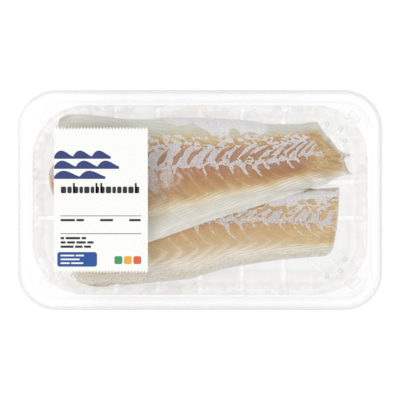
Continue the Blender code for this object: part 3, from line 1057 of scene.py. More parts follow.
@dataclass
class Fillet:
    """A skinless fillet: its plan, its thickness, and the run of its muscle segments, in mm."""

    name: str
    replaced: str
    edge_high: Pairs
    edge_low: Pairs
    end_left: Pairs
    end_right: Pairs
    thickness: Pairs
    septum: Pairs
    crest: float
    share_low: float
    share_high: float
    edge_rounding: float
    segment_pitch: float
    pitch_change: float
    sweep_low: tuple[float, float, float, float]
    sweep_high: tuple[float, float, float, float]
    tray: ClearTray
    membrane: Membrane
    lies_on: "Fillet | None" = None
    covered_above: Pairs = ((0, 1e3), (1, 1e3))
    steps: tuple[int, int] = (400, 180)
    clearance: float = 0.7
    least_thickness: float = 2.5
    groove_depth: float = 0.7
    groove_half_width: float = 1.1
    ripple_height: float = 0.24
    membrane_height: float = 0.16
    gap_depth: float = 0.30
    stripe_spacing: Pairs = ((-90, 2.3), (93, 1.5))
    rim_share: float = 0.28
    rim_rise: float = 0.0
    fringe_width: float = 0.0
    ragged_end: float = 0.0
    seam_height: float = 0.3
    curl_place: Pair = (0.0, 0.0)
    curl_height: float = 0.0
    curl_reach: float = 20.0

    def rest_height(self) -> float:
        """Return the height of an underside that lies on the floor's ribs."""
        return self.tray.sheet + self.tray.rib_height + 0.6

    def bed(self, x: np.ndarray, y: np.ndarray) -> np.ndarray:
        """Read the height of what the fillet lies on, the wall left out.

        Args:
            x: Places along, in mm.
            y: Places across, in mm.

        Returns:
            Its heights in mm.
        """
        if self.lies_on is None:
            return np.full_like(x, self.rest_height())
        return self.lies_on.drape(x, y)

    def width_share(self, x: np.ndarray, y: np.ndarray) -> np.ndarray:
        """Return how far across the fillet a place lies, from 0 at its low edge to 1 at its high one."""
        low, high = through(self.edge_low, x), through(self.edge_high, x)
        return np.clip((y - low) / (high - low), 0, 1)

    def body(self, x: np.ndarray, v: np.ndarray) -> np.ndarray:
        """Read the fillet's thickness, before its edges are rounded.

        Args:
            x: Places along, in mm.
            v: Places across, from 0 to 1.

        Returns:
            The thickness in mm.
        """
        below = 1 - (1 - self.share_low) * (1 - v / self.crest) ** 2
        above = 1 - (1 - self.share_high) * ((v - self.crest) / (1 - self.crest)) ** 2
        return through(self.thickness, x) * np.where(v < self.crest, below, above)

    def top(self, x: np.ndarray, y: np.ndarray) -> np.ndarray:
        """Return the height of the upper face, carried on level past the long edges."""
        return self.bed(x, y) + self.body(x, self.width_share(x, y))

    def drape(self, x: np.ndarray, y: np.ndarray) -> np.ndarray:
        """Read the bed of a fillet that is draped over this one, down to the floor beside it.

        Args:
            x: Places along, in mm.
            y: Places across, in mm.

        Returns:
            Its heights in mm.
        """
        past_edge = y - through(self.edge_high, x)
        lift = 1 - smooth_step(2, 18, past_edge)
        return self.rest_height() + lift * (self.top(x, y) + 0.15 - self.rest_height())

    def edge_drop(self, x: np.ndarray, y: np.ndarray) -> np.ndarray:
        """Read how far the upper face has sunk below its full height near the high edge.

        Args:
            x: Places along, in mm.
            y: Places across, in mm.

        Returns:
            The drop in mm.
        """
        inside = np.clip((through(self.edge_high, x) - y) / self.edge_rounding, 0, 1)
        full_drop = (1 - self.rim_share) * (self.top(x, y) - self.rest_height())
        drop = full_drop * (1 - np.sqrt(1 - (1 - inside) ** 2))
        return drop * (y < through(self.edge_high, x) + 0.5)

    def keep_off_ribs(self, x: np.ndarray, y: np.ndarray, z: np.ndarray) -> np.ndarray:
        """Draw points inwards where a rib of a long wall stands behind them.

        Args:
            x: Places along, in mm.
            y: Places across, in mm.
            z: Their heights, in mm.

        Returns:
            The places across, the nearest ones moved.
        """
        tray = self.tray
        heights = (tray.sheet, tray.wall_foot_height, tray.flange_height - tray.ledge_drop)
        half_width = np.interp(z, heights, (tray.floor_edge[1], tray.wall_foot[1], tray.mouth[1]))
        beside = np.abs(x - np.round(x / tray.rib_pitch) * tray.rib_pitch)
        room = half_width - 0.4 - tray.rib_height * (1 - smooth_step(3.0, 6.5, beside))
        return np.clip(y, -room, room)

    def septum_share(self, x: np.ndarray, v: np.ndarray) -> np.ndarray:
        """Turn a place across into its share of the way from the midline to an edge.

        Args:
            x: Places along, in mm.
            v: Places across, from 0 to 1.

        Returns:
            -1 at the low edge, 0 at the midline and 1 at the high edge.
        """
        low, high = through(self.edge_low, x), through(self.edge_high, x)
        middle = (through(self.septum, x) - low) / (high - low)
        return np.where(v < middle, (v - middle) / middle, (v - middle) / (1 - middle))

    def segment(self, x: np.ndarray, q: np.ndarray) -> np.ndarray:
        """Return the number of the muscle segment at a place, a whole number on each parting."""
        return np.log(self.pitch(x, q)) / self.pitch_change

    def pitch(self, x: np.ndarray, q: np.ndarray) -> np.ndarray:
        """Return the length of the segment at a place.

        A parting leaves the midline, leans towards the tail, turns back at the knee and runs out
        nearly along the edge. The knee's place, lean, run-out and its bend differ on the two sides.

        Args:
            x: Places along, in mm.
            q: Places across, from -1 through 0 at the midline to 1.

        Returns:
            The lengths in mm.
        """
        away = np.abs(q)
        shift = np.zeros_like(x)
        for side, (knee, lean, run_out, bend) in ((q < 0, self.sweep_low), (q >= 0, self.sweep_high)):
            rise = lean * np.clip(away / knee, 0, 1) ** 2.0
            back = run_out * np.clip((away - knee) / (1 - knee), 0, 1) ** bend
            shift = np.where(side, rise - back, shift)
        return self.segment_pitch + self.pitch_change * (x - shift)

    def pattern(self, x: np.ndarray, y: np.ndarray, cell: Pair, salt: int) -> np.ndarray:
        """Return one of the fillet's own smooth random patterns, in two layers."""
        return mottle(x, y, cell, self.membrane.seed + salt, 2)

    def stripes(self, x: np.ndarray, y: np.ndarray, q: np.ndarray) -> np.ndarray:
        """Number the fine stripes, which run nearly along each thin edge.

        Args:
            x: Places along, in mm.
            y: Places across, in mm.
            q: The same places across, from -1 through 0 at the midline to 1.

        Returns:
            The number, a whole one on the middle of each stripe.
        """
        spacing = through(self.stripe_spacing, x)
        low = (y - through(self.edge_low, x)) / spacing - 0.035 * x
        high = (through(self.edge_high, x) - y) / (1.3 * spacing) - 0.05 * x
        return np.where(q < 0, low, high) + 0.6 * self.pattern(x, y, (26, 7), 34)

    def lay_out(self, flat: np.ndarray) -> Plan:
        """Spread a square's points over the fillet's plan, closer together near its ends and edges.

        Args:
            flat: Rows of x, y and z, with x and y from 0 to 1.

        Returns:
            The points in plan.
        """
        u = 0.65 * flat[:, 0] + 0.35 * (1 - np.cos(np.pi * flat[:, 0])) / 2
        v = 0.6 * flat[:, 1] + 0.4 * (1 - np.cos(np.pi * flat[:, 1])) / 2
        left, right = through(self.end_left, v), through(self.end_right, v)
        right = right - self.ragged_end * (1 + self.pattern(40 * v, 0 * v, (1.6, 1), 31))
        x = left + (right - left) * u
        low, high = through(self.edge_low, x), through(self.edge_high, x)
        return Plan(u, v, x, low + (high - low) * v, left, right, low, high)

    def marks(self, at: Plan, is_top: bool) -> dict[str, np.ndarray]:
        """Return what the flesh's finish reads at each point of a face.

        Args:
            at: The points in plan.
            is_top: Whether it is the upper face.

        Returns:
            The muscle segment and stripe by number, the place across, the depth inside the membrane
            and the film, and from 0 to 1 the tail's fringe, the painted shade under the other fillet's edge
            and the cut ends.
        """
        q = self.septum_share(at.x, at.v)
        number = self.segment(at.x, q)
        spots = Spots(at.x, at.y, at.y - through(self.septum, at.x), number, self.pitch(at.x, q))
        fringe = (at.right - at.x) / max(self.fringe_width, 0.01) + 0.6 * self.pattern(at.x, at.y, (3, 3), 32)
        # Painted shade: how near a point lies under the other fillet's edge, fading over 2.6 mm.
        covered = is_top or self.lies_on is None
        under_edge = through(self.covered_above, at.x) - at.y if covered else at.y - at.low
        from_left = 0.6 * (at.x - at.left) + 3 * smooth_step(0.66, 0.76, at.v)
        to_end = np.minimum(from_left, at.right - at.x) + 0.5 * self.pattern(at.x, at.y, (2, 2), 33)
        bare = np.clip(1.5 * (to_end - 1.1), -3, 3) if is_top else np.full_like(at.x, -3.0)
        return {
            "segment": number,
            "across": (q + 1) / 2,
            "stripe": self.stripes(at.x, at.y, q),
            "veil": np.minimum(self.membrane.veil(spots), bare),
            "film": np.minimum(self.membrane.film(spots), bare),
            "fringe": 1 - smooth_step(0.3, 1.2, fringe),
            "contact": 1 - smooth_step(0.2, 2.6, under_edge),
            "cut": 1 - smooth_step(0.4, 1.6, to_end),
        }

    def skin_relief(self, at: Plan, marks: dict[str, np.ndarray]) -> np.ndarray:
        """Raise and sink the upper face for its midline, segments and membrane.

        Args:
            at: The points in plan.
            marks: What is found at each point.

        Returns:
            Heights above the smooth face, in mm.
        """
        q = 2 * marks["across"] - 1
        width = at.high - at.low
        off_middle = np.abs(q) * width / 2
        groove = -self.groove_depth * np.exp(-((off_middle / self.groove_half_width) ** 2))
        parting = np.abs(marks["segment"] - np.round(marks["segment"])) * 2
        ripple = self.ripple_height * (np.sqrt(np.clip(parting, 0, 1)) - 0.7)
        ripple *= smooth_step(0, 0.15, np.abs(q)) * (1 - 0.8 * smooth_step(0.35, 0.6, np.abs(q)))
        sheet = self.membrane_height * smooth_step(-0.25, 0.25, marks["veil"])
        near_edge = smooth_step(-2.0, -0.3, marks["veil"]) * (1 - smooth_step(-0.3, 0.1, marks["veil"]))
        swell = 0.5 * self.pattern(at.x, at.v * width, (14, 9), 30)
        return groove + ripple + sheet - self.gap_depth * near_edge + swell

    def heights(self, at: Plan, marks: dict[str, np.ndarray], is_top: bool) -> np.ndarray:
        """Return the height of each point of a face, its edges rounded off towards a common rim.

        Args:
            at: The points in plan.
            marks: What is found at each point.
            is_top: Whether it is the upper face.

        Returns:
            The heights in mm.
        """
        wall = self.tray.height_beside(at.x, at.y, self.clearance) + self.clearance
        sunk = self.lies_on.edge_drop(at.x, at.y) if self.lies_on else 0
        bed = self.bed(at.x, at.y)
        bottom = np.maximum(bed - sunk, np.maximum(self.rest_height(), wall))
        from_curl = np.hypot(at.x - self.curl_place[0], at.y - self.curl_place[1]) / self.curl_reach
        curl = self.curl_height * np.exp(-(from_curl**2))
        top = np.maximum(bed + self.body(at.x, at.v) + curl, bottom + self.least_thickness)
        to_edge = np.minimum(at.v, 1 - at.v) * (at.high - at.low)
        nearest = np.minimum(to_edge, np.minimum(at.u, 1 - at.u) * (at.right - at.left))
        flatness = 0.5 if self.lies_on is None else 1 - 0.5 * smooth_step(0.05, 0.3, at.v)
        fullness = (1 - (1 - np.clip(nearest / self.edge_rounding, 0, 1)) ** 2) ** flatness
        rim = bottom + (self.rim_share + self.rim_rise * smooth_step(0.5, 1, at.v)) * (top - bottom)
        if is_top:
            return rim + (top - rim + self.skin_relief(at, marks)) * fullness
        return rim + (bottom - rim) * fullness - self.seam_height * (1 - fullness)

    def face(self, is_top: bool) -> bpy.types.Object:
        """Shape a flat grid into the upper face or the underside, with what its finish reads.

        The underside has half as many cells each way, because it is hardly seen.

        Args:
            is_top: Whether it is the upper face.

        Returns:
            The open mesh.
        """
        sheet = flat_grid(*(count if is_top else count // 2 for count in self.steps), 1)
        at = self.lay_out(read_points(sheet) + 0.5)
        marks = self.marks(at, is_top)
        z = self.heights(at, marks, is_top)
        y = self.keep_off_ribs(at.x, at.y, z)
        write_points(sheet, np.stack([at.x, y, z], axis=1) * MM)
        add_marks(sheet, marks)
        return sheet

    def build(self) -> bpy.types.Object:
        """Shape both faces, bridge their rims, and close the body.

        Returns:
            The finished fillet.
        """
        fillet = join_pieces(self.name, [self.face(True), self.face(False)])
        bpy.ops.object.mode_set(mode="EDIT")
        bpy.ops.mesh.select_mode(type="EDGE")
        bpy.ops.mesh.select_all(action="DESELECT")
        bpy.ops.mesh.select_non_manifold()
        bpy.ops.mesh.bridge_edge_loops()
        bpy.ops.mesh.select_all(action="SELECT")
        bpy.ops.mesh.normals_make_consistent(inside=False)
        bpy.ops.object.mode_set(mode="OBJECT")
        shade_smooth(fillet, 60)
        return fillet


@dataclass(frozen=True)
class CodFlesh:
    """Raw skinless cod, wet: tan muscle in W-shaped segments under torn silvery membrane.

    Colour runs from brown at the midline through tan to pale striped edges. The membrane is drier and
    speckled, with a creamy torn rim that is partly its own colour and partly a painted highlight. Wetness
    gives the muscle a soft sheen, and light sinks a little way into it. Lengths are in mm, and places
    across run from 0 at the low edge to 1 at the high one.
    """

    name: str
    across: tuple[tuple[float, str], ...]
    tail_colour: str
    tail: Pair
    stripes_from: float
    stripes_above_from: float
    stripes_fade: Pair
    line_share: float
    teeth: float
    cut_colour: str
    stripes_border: float = 0.07
    brown_spread: float = 0.0
    brown_tail: Pair = (30.0, 62.0)
    sinews: float = 0.5
    specks: float = 0.0
    film_share: float = 0.9
    stripe_colour: str = "EAE7E1"
    line_colour: str = "DCC9B2"
    sinew_colour: str = "D9CCB0"
    speck_colour: str = "9A8156"
    painted_edge_shade_colour: str = "B08352"
    fringe_colour: str = "D0CDC2"
    torn_rim_and_highlight_colour: str = "E0D6CA"
    film_tones: tuple[tuple[float, str], ...] = ((0.36, "B19F97"), (0.50, "C3B6B0"), (0.64, "CFC7C3"))
    dull_tones: tuple[tuple[float, str], ...] = ((0.32, "A7A3A6"), (0.50, "C1BEC0"), (0.68, "D3D1D3"))
    bright_tones: tuple[tuple[float, str], ...] = ((0.30, "C8C7C7"), (0.50, "DAD9DA"), (0.70, "E5E5E5"))

    @staticmethod
    def given(add: Adder) -> SimpleNamespace:
        """Read what the mesh stores at each point, its place, and the noises that break patterns up.

        Args:
            add: Adds a node to the material.

        Returns:
            The outputs, by name.
        """
        names = ("segment", "across", "stripe", "veil", "film", "fringe", "contact", "cut")
        at = {name: add("Attribute", attribute_name=name).outputs["Fac"] for name in names}
        place = add("TexCoord").outputs["Object"]
        at["x"] = add("SeparateXYZ", (place,)).outputs["X"]
        in_segment = add("CombineXYZ", {"X": at["segment"], "Y": at["across"]})
        along_fibres = add("VectorMath", (in_segment, (6.0, 16.0, 1.0)), operation="MULTIPLY")
        drawn_out = add("VectorMath", (place, (0.10 / MM, 0.42 / MM, 0.0)), operation="MULTIPLY")
        noises = {
            "grain": {"Vector": place, "Scale": 1 / (9 * MM), "Detail": 4.0, "Roughness": 0.6},
            "fine": {"Vector": place, "Scale": 1 / (1.3 * MM), "Detail": 3.0, "Roughness": 0.65},
            "speckle": {"Vector": place, "Scale": 1 / (0.8 * MM), "Detail": 2.0},
            "fibre": {"Vector": along_fibres, "Scale": 1.6, "Detail": 4.0, "Roughness": 0.65},
            "strand": {"Vector": drawn_out, "Scale": 1.0, "Detail": 4.0, "Distortion": 1.2},
        }
        at |= {name: add("TexNoise", noise).outputs[0] for name, noise in noises.items()}
        return SimpleNamespace(**at)

    @staticmethod
    def nearness(add: Adder, at: SimpleNamespace) -> tuple[Node, Node]:
        """Find how near a parting and how near the middle of a fine stripe each point lies.

        Args:
            add: Adds a node to the material.
            at: What is given at each point.

        Returns:
            The two values, 1 on a parting or stripe and 0 between.
        """
        wander = add("Math", (at.grain, 0.30, -0.15), operation="MULTIPLY_ADD")
        segment = add("Math", (at.segment, wander), operation="ADD")
        stripe = add("Math", (at.grain, 0.5, at.stripe), operation="MULTIPLY_ADD")
        swings = (add("Math", (number, 0.5), operation="PINGPONG") for number in (segment, stripe))
        parting, on_stripe = (add("Math", (swing, -2.0, 1.0), operation="MULTIPLY_ADD") for swing in swings)
        return parting, on_stripe

    def colour_place(self, add: Adder, at: SimpleNamespace, parting: Node, on_stripe: Node) -> Node:
        """Return the place across at which a point reads its colour.

        The colour's borders are ragged. They are drawn out into combs along the stripes and into teeth
        along the partings. Towards the tail the brown spreads below the midline, and gold above it.

        Args:
            add: Adds a node to the material.
            at: What is given at each point.
            parting: Nearness to a parting.
            on_stripe: Nearness to the middle of a stripe.

        Returns:
            The place.
        """
        from_middle = add("Math", (at.across, 0.5), operation="SUBTRACT")
        away = add("Math", (from_middle,), operation="ABSOLUTE")
        comb_size = add("MapRange", (away, 0.14, 0.26, 0.01, 0.028))
        centred = add("Math", (on_stripe, 0.5), operation="SUBTRACT")
        comb = add("Math", (centred, comb_size), operation="MULTIPLY")
        ragged = add("Math", (at.grain, 0.16, -0.08), operation="MULTIPLY_ADD")
        toothed = add("Math", (parting, self.teeth, -self.teeth / 2), operation="MULTIPLY_ADD")
        streaked = add("Math", (comb, toothed), operation="ADD")
        border = add("Math", (streaked, ragged), operation="ADD")
        side = add("Math", (at.across, 0.5), operation="GREATER_THAN")
        sign = add("Math", (side, 2.0, -1.0), operation="MULTIPLY_ADD")
        outward = add("Math", (border, sign, at.across), operation="MULTIPLY_ADD")
        start, end = (x * MM for x in self.brown_tail)
        spread = add("MapRange", (at.x, start, end, 0.0, self.brown_spread))
        low_side = add("Math", (1.0, side), operation="SUBTRACT")
        near_middle = add("MapRange", (at.across, 0.24, 0.34))
        below = add("Math", (near_middle, low_side), operation="MULTIPLY")
        above_middle = add("MapRange", (at.across, 0.64, 0.78, 0.0, 0.65))
        off_edge = add("MapRange", (at.across, 0.94, 0.82))
        above = add("Math", (above_middle, off_edge), operation="MULTIPLY")
        spread_here = add("Math", (below, above), operation="SUBTRACT")
        return add("Math", (spread, spread_here, outward), operation="MULTIPLY_ADD")

    def striped(self, add: Adder, at: SimpleNamespace, parting: Node, on_stripe: Node, tail: Node) -> Node:
        """Return the muscle's colour, with the pale stripes of its thin edges and thin pale partings.

        Args:
            add: Adds a node to the material.
            at: What is given at each point.
            parting: Nearness to a parting.
            on_stripe: Nearness to the middle of a stripe.
            tail: From 0 to 1 towards the tail.

        Returns:
            The colour.
        """
        ramp = add("ValToRGB", (self.colour_place(add, at, parting, on_stripe),))
        inner = add("MapRange", (at.across, 0.10, 0.22))
        within = add("MapRange", (at.across, 0.88, 0.76))
        middle_part = add("Math", (inner, within), operation="MULTIPLY")
        tail_share = add("Math", (tail, middle_part), operation="MULTIPLY")
        below, above, border = self.stripes_from, self.stripes_above_from, self.stripes_border
        low = add("MapRange", (at.across, below, below - border))
        high = add("MapRange", (at.across, above, above + border, 0.0, 0.25))
        either = add("Math", (low, high), operation="MAXIMUM")
        inward = add("MapRange", (at.across, 0.0, 0.14, 0.25, 1.0))
        faded = add("MapRange", (at.x, self.stripes_fade[0] * MM, self.stripes_fade[1] * MM, 0.45, 1.0))
        uneven = add("MapRange", (at.grain, 0.35, 0.6, 0.45, 1.0))
        stripe = add("MapRange", (on_stripe, 0.20, 0.85, 0.0, 0.62), interpolation_type="SMOOTHSTEP")
        for part in (either, inward, faded, uneven):
            stripe = add("Math", (stripe, part), operation="MULTIPLY")
        line = add("MapRange", (parting, 0.82, 0.96))
        for part in (add("MapRange", (at.grain, 0.38, 0.55)), inner, self.line_share):
            line = add("Math", (line, part), operation="MULTIPLY")
        colour = with_stops(ramp, self.across)
        coats = ((tail_share, self.tail_colour), (stripe, self.stripe_colour), (line, self.line_colour))
        for share, coat in coats:
            colour = add("Mix", (share, colour, coat), data_type="RGBA")
        return colour

    def muscle(self, add: Adder, at: SimpleNamespace) -> Node:
        """Colour the bare muscle, with its fibres, the tail's strands, specks, fringe and cut end, painted
        shade under the other fillet's edge, and painted light that makes it lighter towards its left end.

        Args:
            add: Adds a node to the material.
            at: What is given at each point.

        Returns:
            The colour.
        """
        span = (self.tail[0] * MM, self.tail[1] * MM)
        tail = add("MapRange", (at.x, *span), interpolation_type="SMOOTHSTEP")
        plain = self.striped(add, at, *self.nearness(add, at), tail)
        fibre_tone = add("MapRange", (at.fibre, 0.3, 0.7, 0.88, 1.1))
        # Painted light: the muscle is made lighter towards the left end and darker towards the right, most at
        # the far left.
        painted_light_ramp = add("MapRange", (at.x, -95 * MM, 90 * MM, 1.07, 0.95))
        painted_light_far_left = add("MapRange", (at.x, -60 * MM, -92 * MM, 1.0, 1.10))
        along = add("Math", (painted_light_ramp, painted_light_far_left), operation="MULTIPLY")
        tone = add("Math", (fibre_tone, along), operation="MULTIPLY")
        fibred = add("VectorMath", (plain, tone), operation="SCALE")
        strand_tone = add("MapRange", (at.strand, 0.3, 0.7, -0.18, 0.20))
        strand_share = add("Math", (strand_tone, tail, 1.0), operation="MULTIPLY_ADD")
        colour = add("VectorMath", (fibred, strand_share), operation="SCALE")
        off_sinew = add("Math", (at.strand, 0.52), operation="SUBTRACT")
        beside_sinew = add("Math", (off_sinew,), operation="ABSOLUTE")
        on_sinew = add("MapRange", (beside_sinew, 0.030, 0.006, 0.0, self.sinews))
        on_speck = add("MapRange", (at.speckle, 0.53, 0.59))
        by_edge = add("MapRange", (at.across, 0.14, 0.05, 0.0, self.specks))
        coats = (
            (on_sinew, tail, self.sinew_colour),
            (on_speck, by_edge, self.speck_colour),
            # Painted shade: orange-brown where the other fillet's edge lies over this one.
            (at.contact, 0.55, self.painted_edge_shade_colour),
            (at.fringe, 0.8, self.fringe_colour),
            (at.cut, 0.65, self.cut_colour),
        )
        for place, strength, coat in coats:
            share = add("Math", (place, strength), operation="MULTIPLY")
            colour = add("Mix", (share, colour, coat), data_type="RGBA")
        return colour

    def film_cover(self, add: Adder, at: SimpleNamespace) -> Node:
        """Find how much of the muscle the thin pink film hides, combed along the fibres.

        Args:
            add: Adds a node to the material.
            at: What is given at each point.

        Returns:
            The share that it hides.
        """
        torn = add("Math", (at.fine, 1.8, at.film), operation="MULTIPLY_ADD")
        combed = add("Math", (at.fibre, 3.0, -2.4), operation="MULTIPLY_ADD")
        depth = add("Math", (torn, combed), operation="ADD")
        return add("MapRange", (depth, -0.8, 2.2, 0.0, self.film_share), interpolation_type="SMOOTHSTEP")

    def membrane(self, add: Adder, at: SimpleNamespace, depth: Node) -> Node:
        """Colour the membrane: speckled silver, brighter by the high edge, with a creamy rim that is partly
        its torn edge's colour and partly a painted highlight.

        Args:
            add: Adds a node to the material.
            at: What is given at each point.
            depth: How deep inside the membrane each point lies.

        Returns:
            The colour.
        """
        # Partly painted highlight: the creamy rim where the membrane is torn.
        rim = add("MapRange", (depth, 0.15, 0.6))
        silvers = (self.dull_tones, self.bright_tones)
        dull, bright = (with_stops(add("ValToRGB", (at.speckle,)), tones) for tones in silvers)
        outer = add("MapRange", (at.across, 0.66, 0.88))
        combed = add("MapRange", (at.fibre, 0.3, 0.7, 0.90, 1.06))
        mixed = add("Mix", (outer, dull, bright), data_type="RGBA")
        silver = add("VectorMath", (mixed, combed), operation="SCALE")
        return add("Mix", (rim, self.torn_rim_and_highlight_colour, silver), data_type="RGBA")

    def material(self) -> bpy.types.Material:
        """Build the material: muscle, then film, then membrane, its torn edge finer than the mesh.

        Returns:
            The material.
        """
        material, add = new_material(self.name)
        at = self.given(add)
        torn = add("Math", (at.fine, 0.7, -0.35), operation="MULTIPLY_ADD")
        depth = add("Math", (at.veil, torn), operation="ADD")
        cover = add("MapRange", (depth, -0.08, 0.12, 0.0, 0.95))
        film_tone = with_stops(add("ValToRGB", (at.fine,)), self.film_tones)
        colour = self.muscle(add, at)
        for share, coat in ((self.film_cover(add, at), film_tone), (cover, self.membrane(add, at, depth))):
            colour = add("Mix", (share, colour, coat), data_type="RGBA")
        fibre_height = add("Math", (at.fibre, 0.35), operation="MULTIPLY")
        height = add("Math", (cover, 0.6, fibre_height), operation="MULTIPLY_ADD")
        pitted = add("Math", (at.fine, 0.35, height), operation="MULTIPLY_ADD")
        wetness = {
            "Base Color": colour,
            "Roughness": add("MapRange", (cover, 0.0, 1.0, 0.30, 0.42)),
            "IOR": 1.38,
            "Subsurface Weight": 0.12,
            "Subsurface Radius": (1.0, 0.6, 0.4),
            "Subsurface Scale": 1.2 * MM,
            "Coat Weight": 0.25,
            "Coat Roughness": 0.2,
            "Normal": add("Bump", {"Height": pitted, "Strength": 0.5, "Distance": 0.4 * MM}),
        }
        add("OutputMaterial", {"Surface": add("BsdfPrincipled", wetness)})
        return material


@dataclass
class LidFilm:
    """The lid film: a thin clear sheet, sealed to the flange and very slightly rippled, in mm."""

    tray: ClearTray
    inset: float = 1.8
    underside: float = 39.32
    thickness: float = 0.12
    ripple: float = 0.05
    sealed_band: float = 14.0
    cells: tuple[int, int] = (118, 70)

    def build(self) -> bpy.types.Object:
        """Round the corners of a flat plane, ripple it and thicken it.

        Returns:
            The finished film.
        """
        half_length = self.tray.length / 2 - self.inset
        half_width = self.tray.width / 2 - self.inset
        radius = self.tray.rim_radius - self.inset
        film = flat_grid(*self.cells, 2)
        film.name = film.data.name = "lid_film"
        points = read_points(film)
        x, y = points[:, 0] * half_length, points[:, 1] * half_width
        past_x = np.maximum(np.abs(x) - (half_length - radius), 0)
        past_y = np.maximum(np.abs(y) - (half_width - radius), 0)
        reach = np.hypot(past_x, past_y)
        draw_in = np.where(reach > 0, np.maximum(past_x, past_y) / np.where(reach > 0, reach, 1), 1)
        x = np.sign(x) * (np.minimum(np.abs(x), half_length - radius) + past_x * draw_in)
        y = np.sign(y) * (np.minimum(np.abs(y), half_width - radius) + past_y * draw_in)
        waves = np.sin(x / 17 + 1.3 * np.sin(y / 23)) * np.cos(y / 31)
        to_rim = -ClearTray.distance((half_length, half_width, radius), x, y)
        z = self.underside + self.ripple * (1 + waves) / 2 * smooth_step(0, self.sealed_band, to_rim)
        write_points(film, np.stack([x, y, z], axis=1) * MM)
        thicken(film, self.thickness, 1)
        shade_smooth(film, 30)
        return film


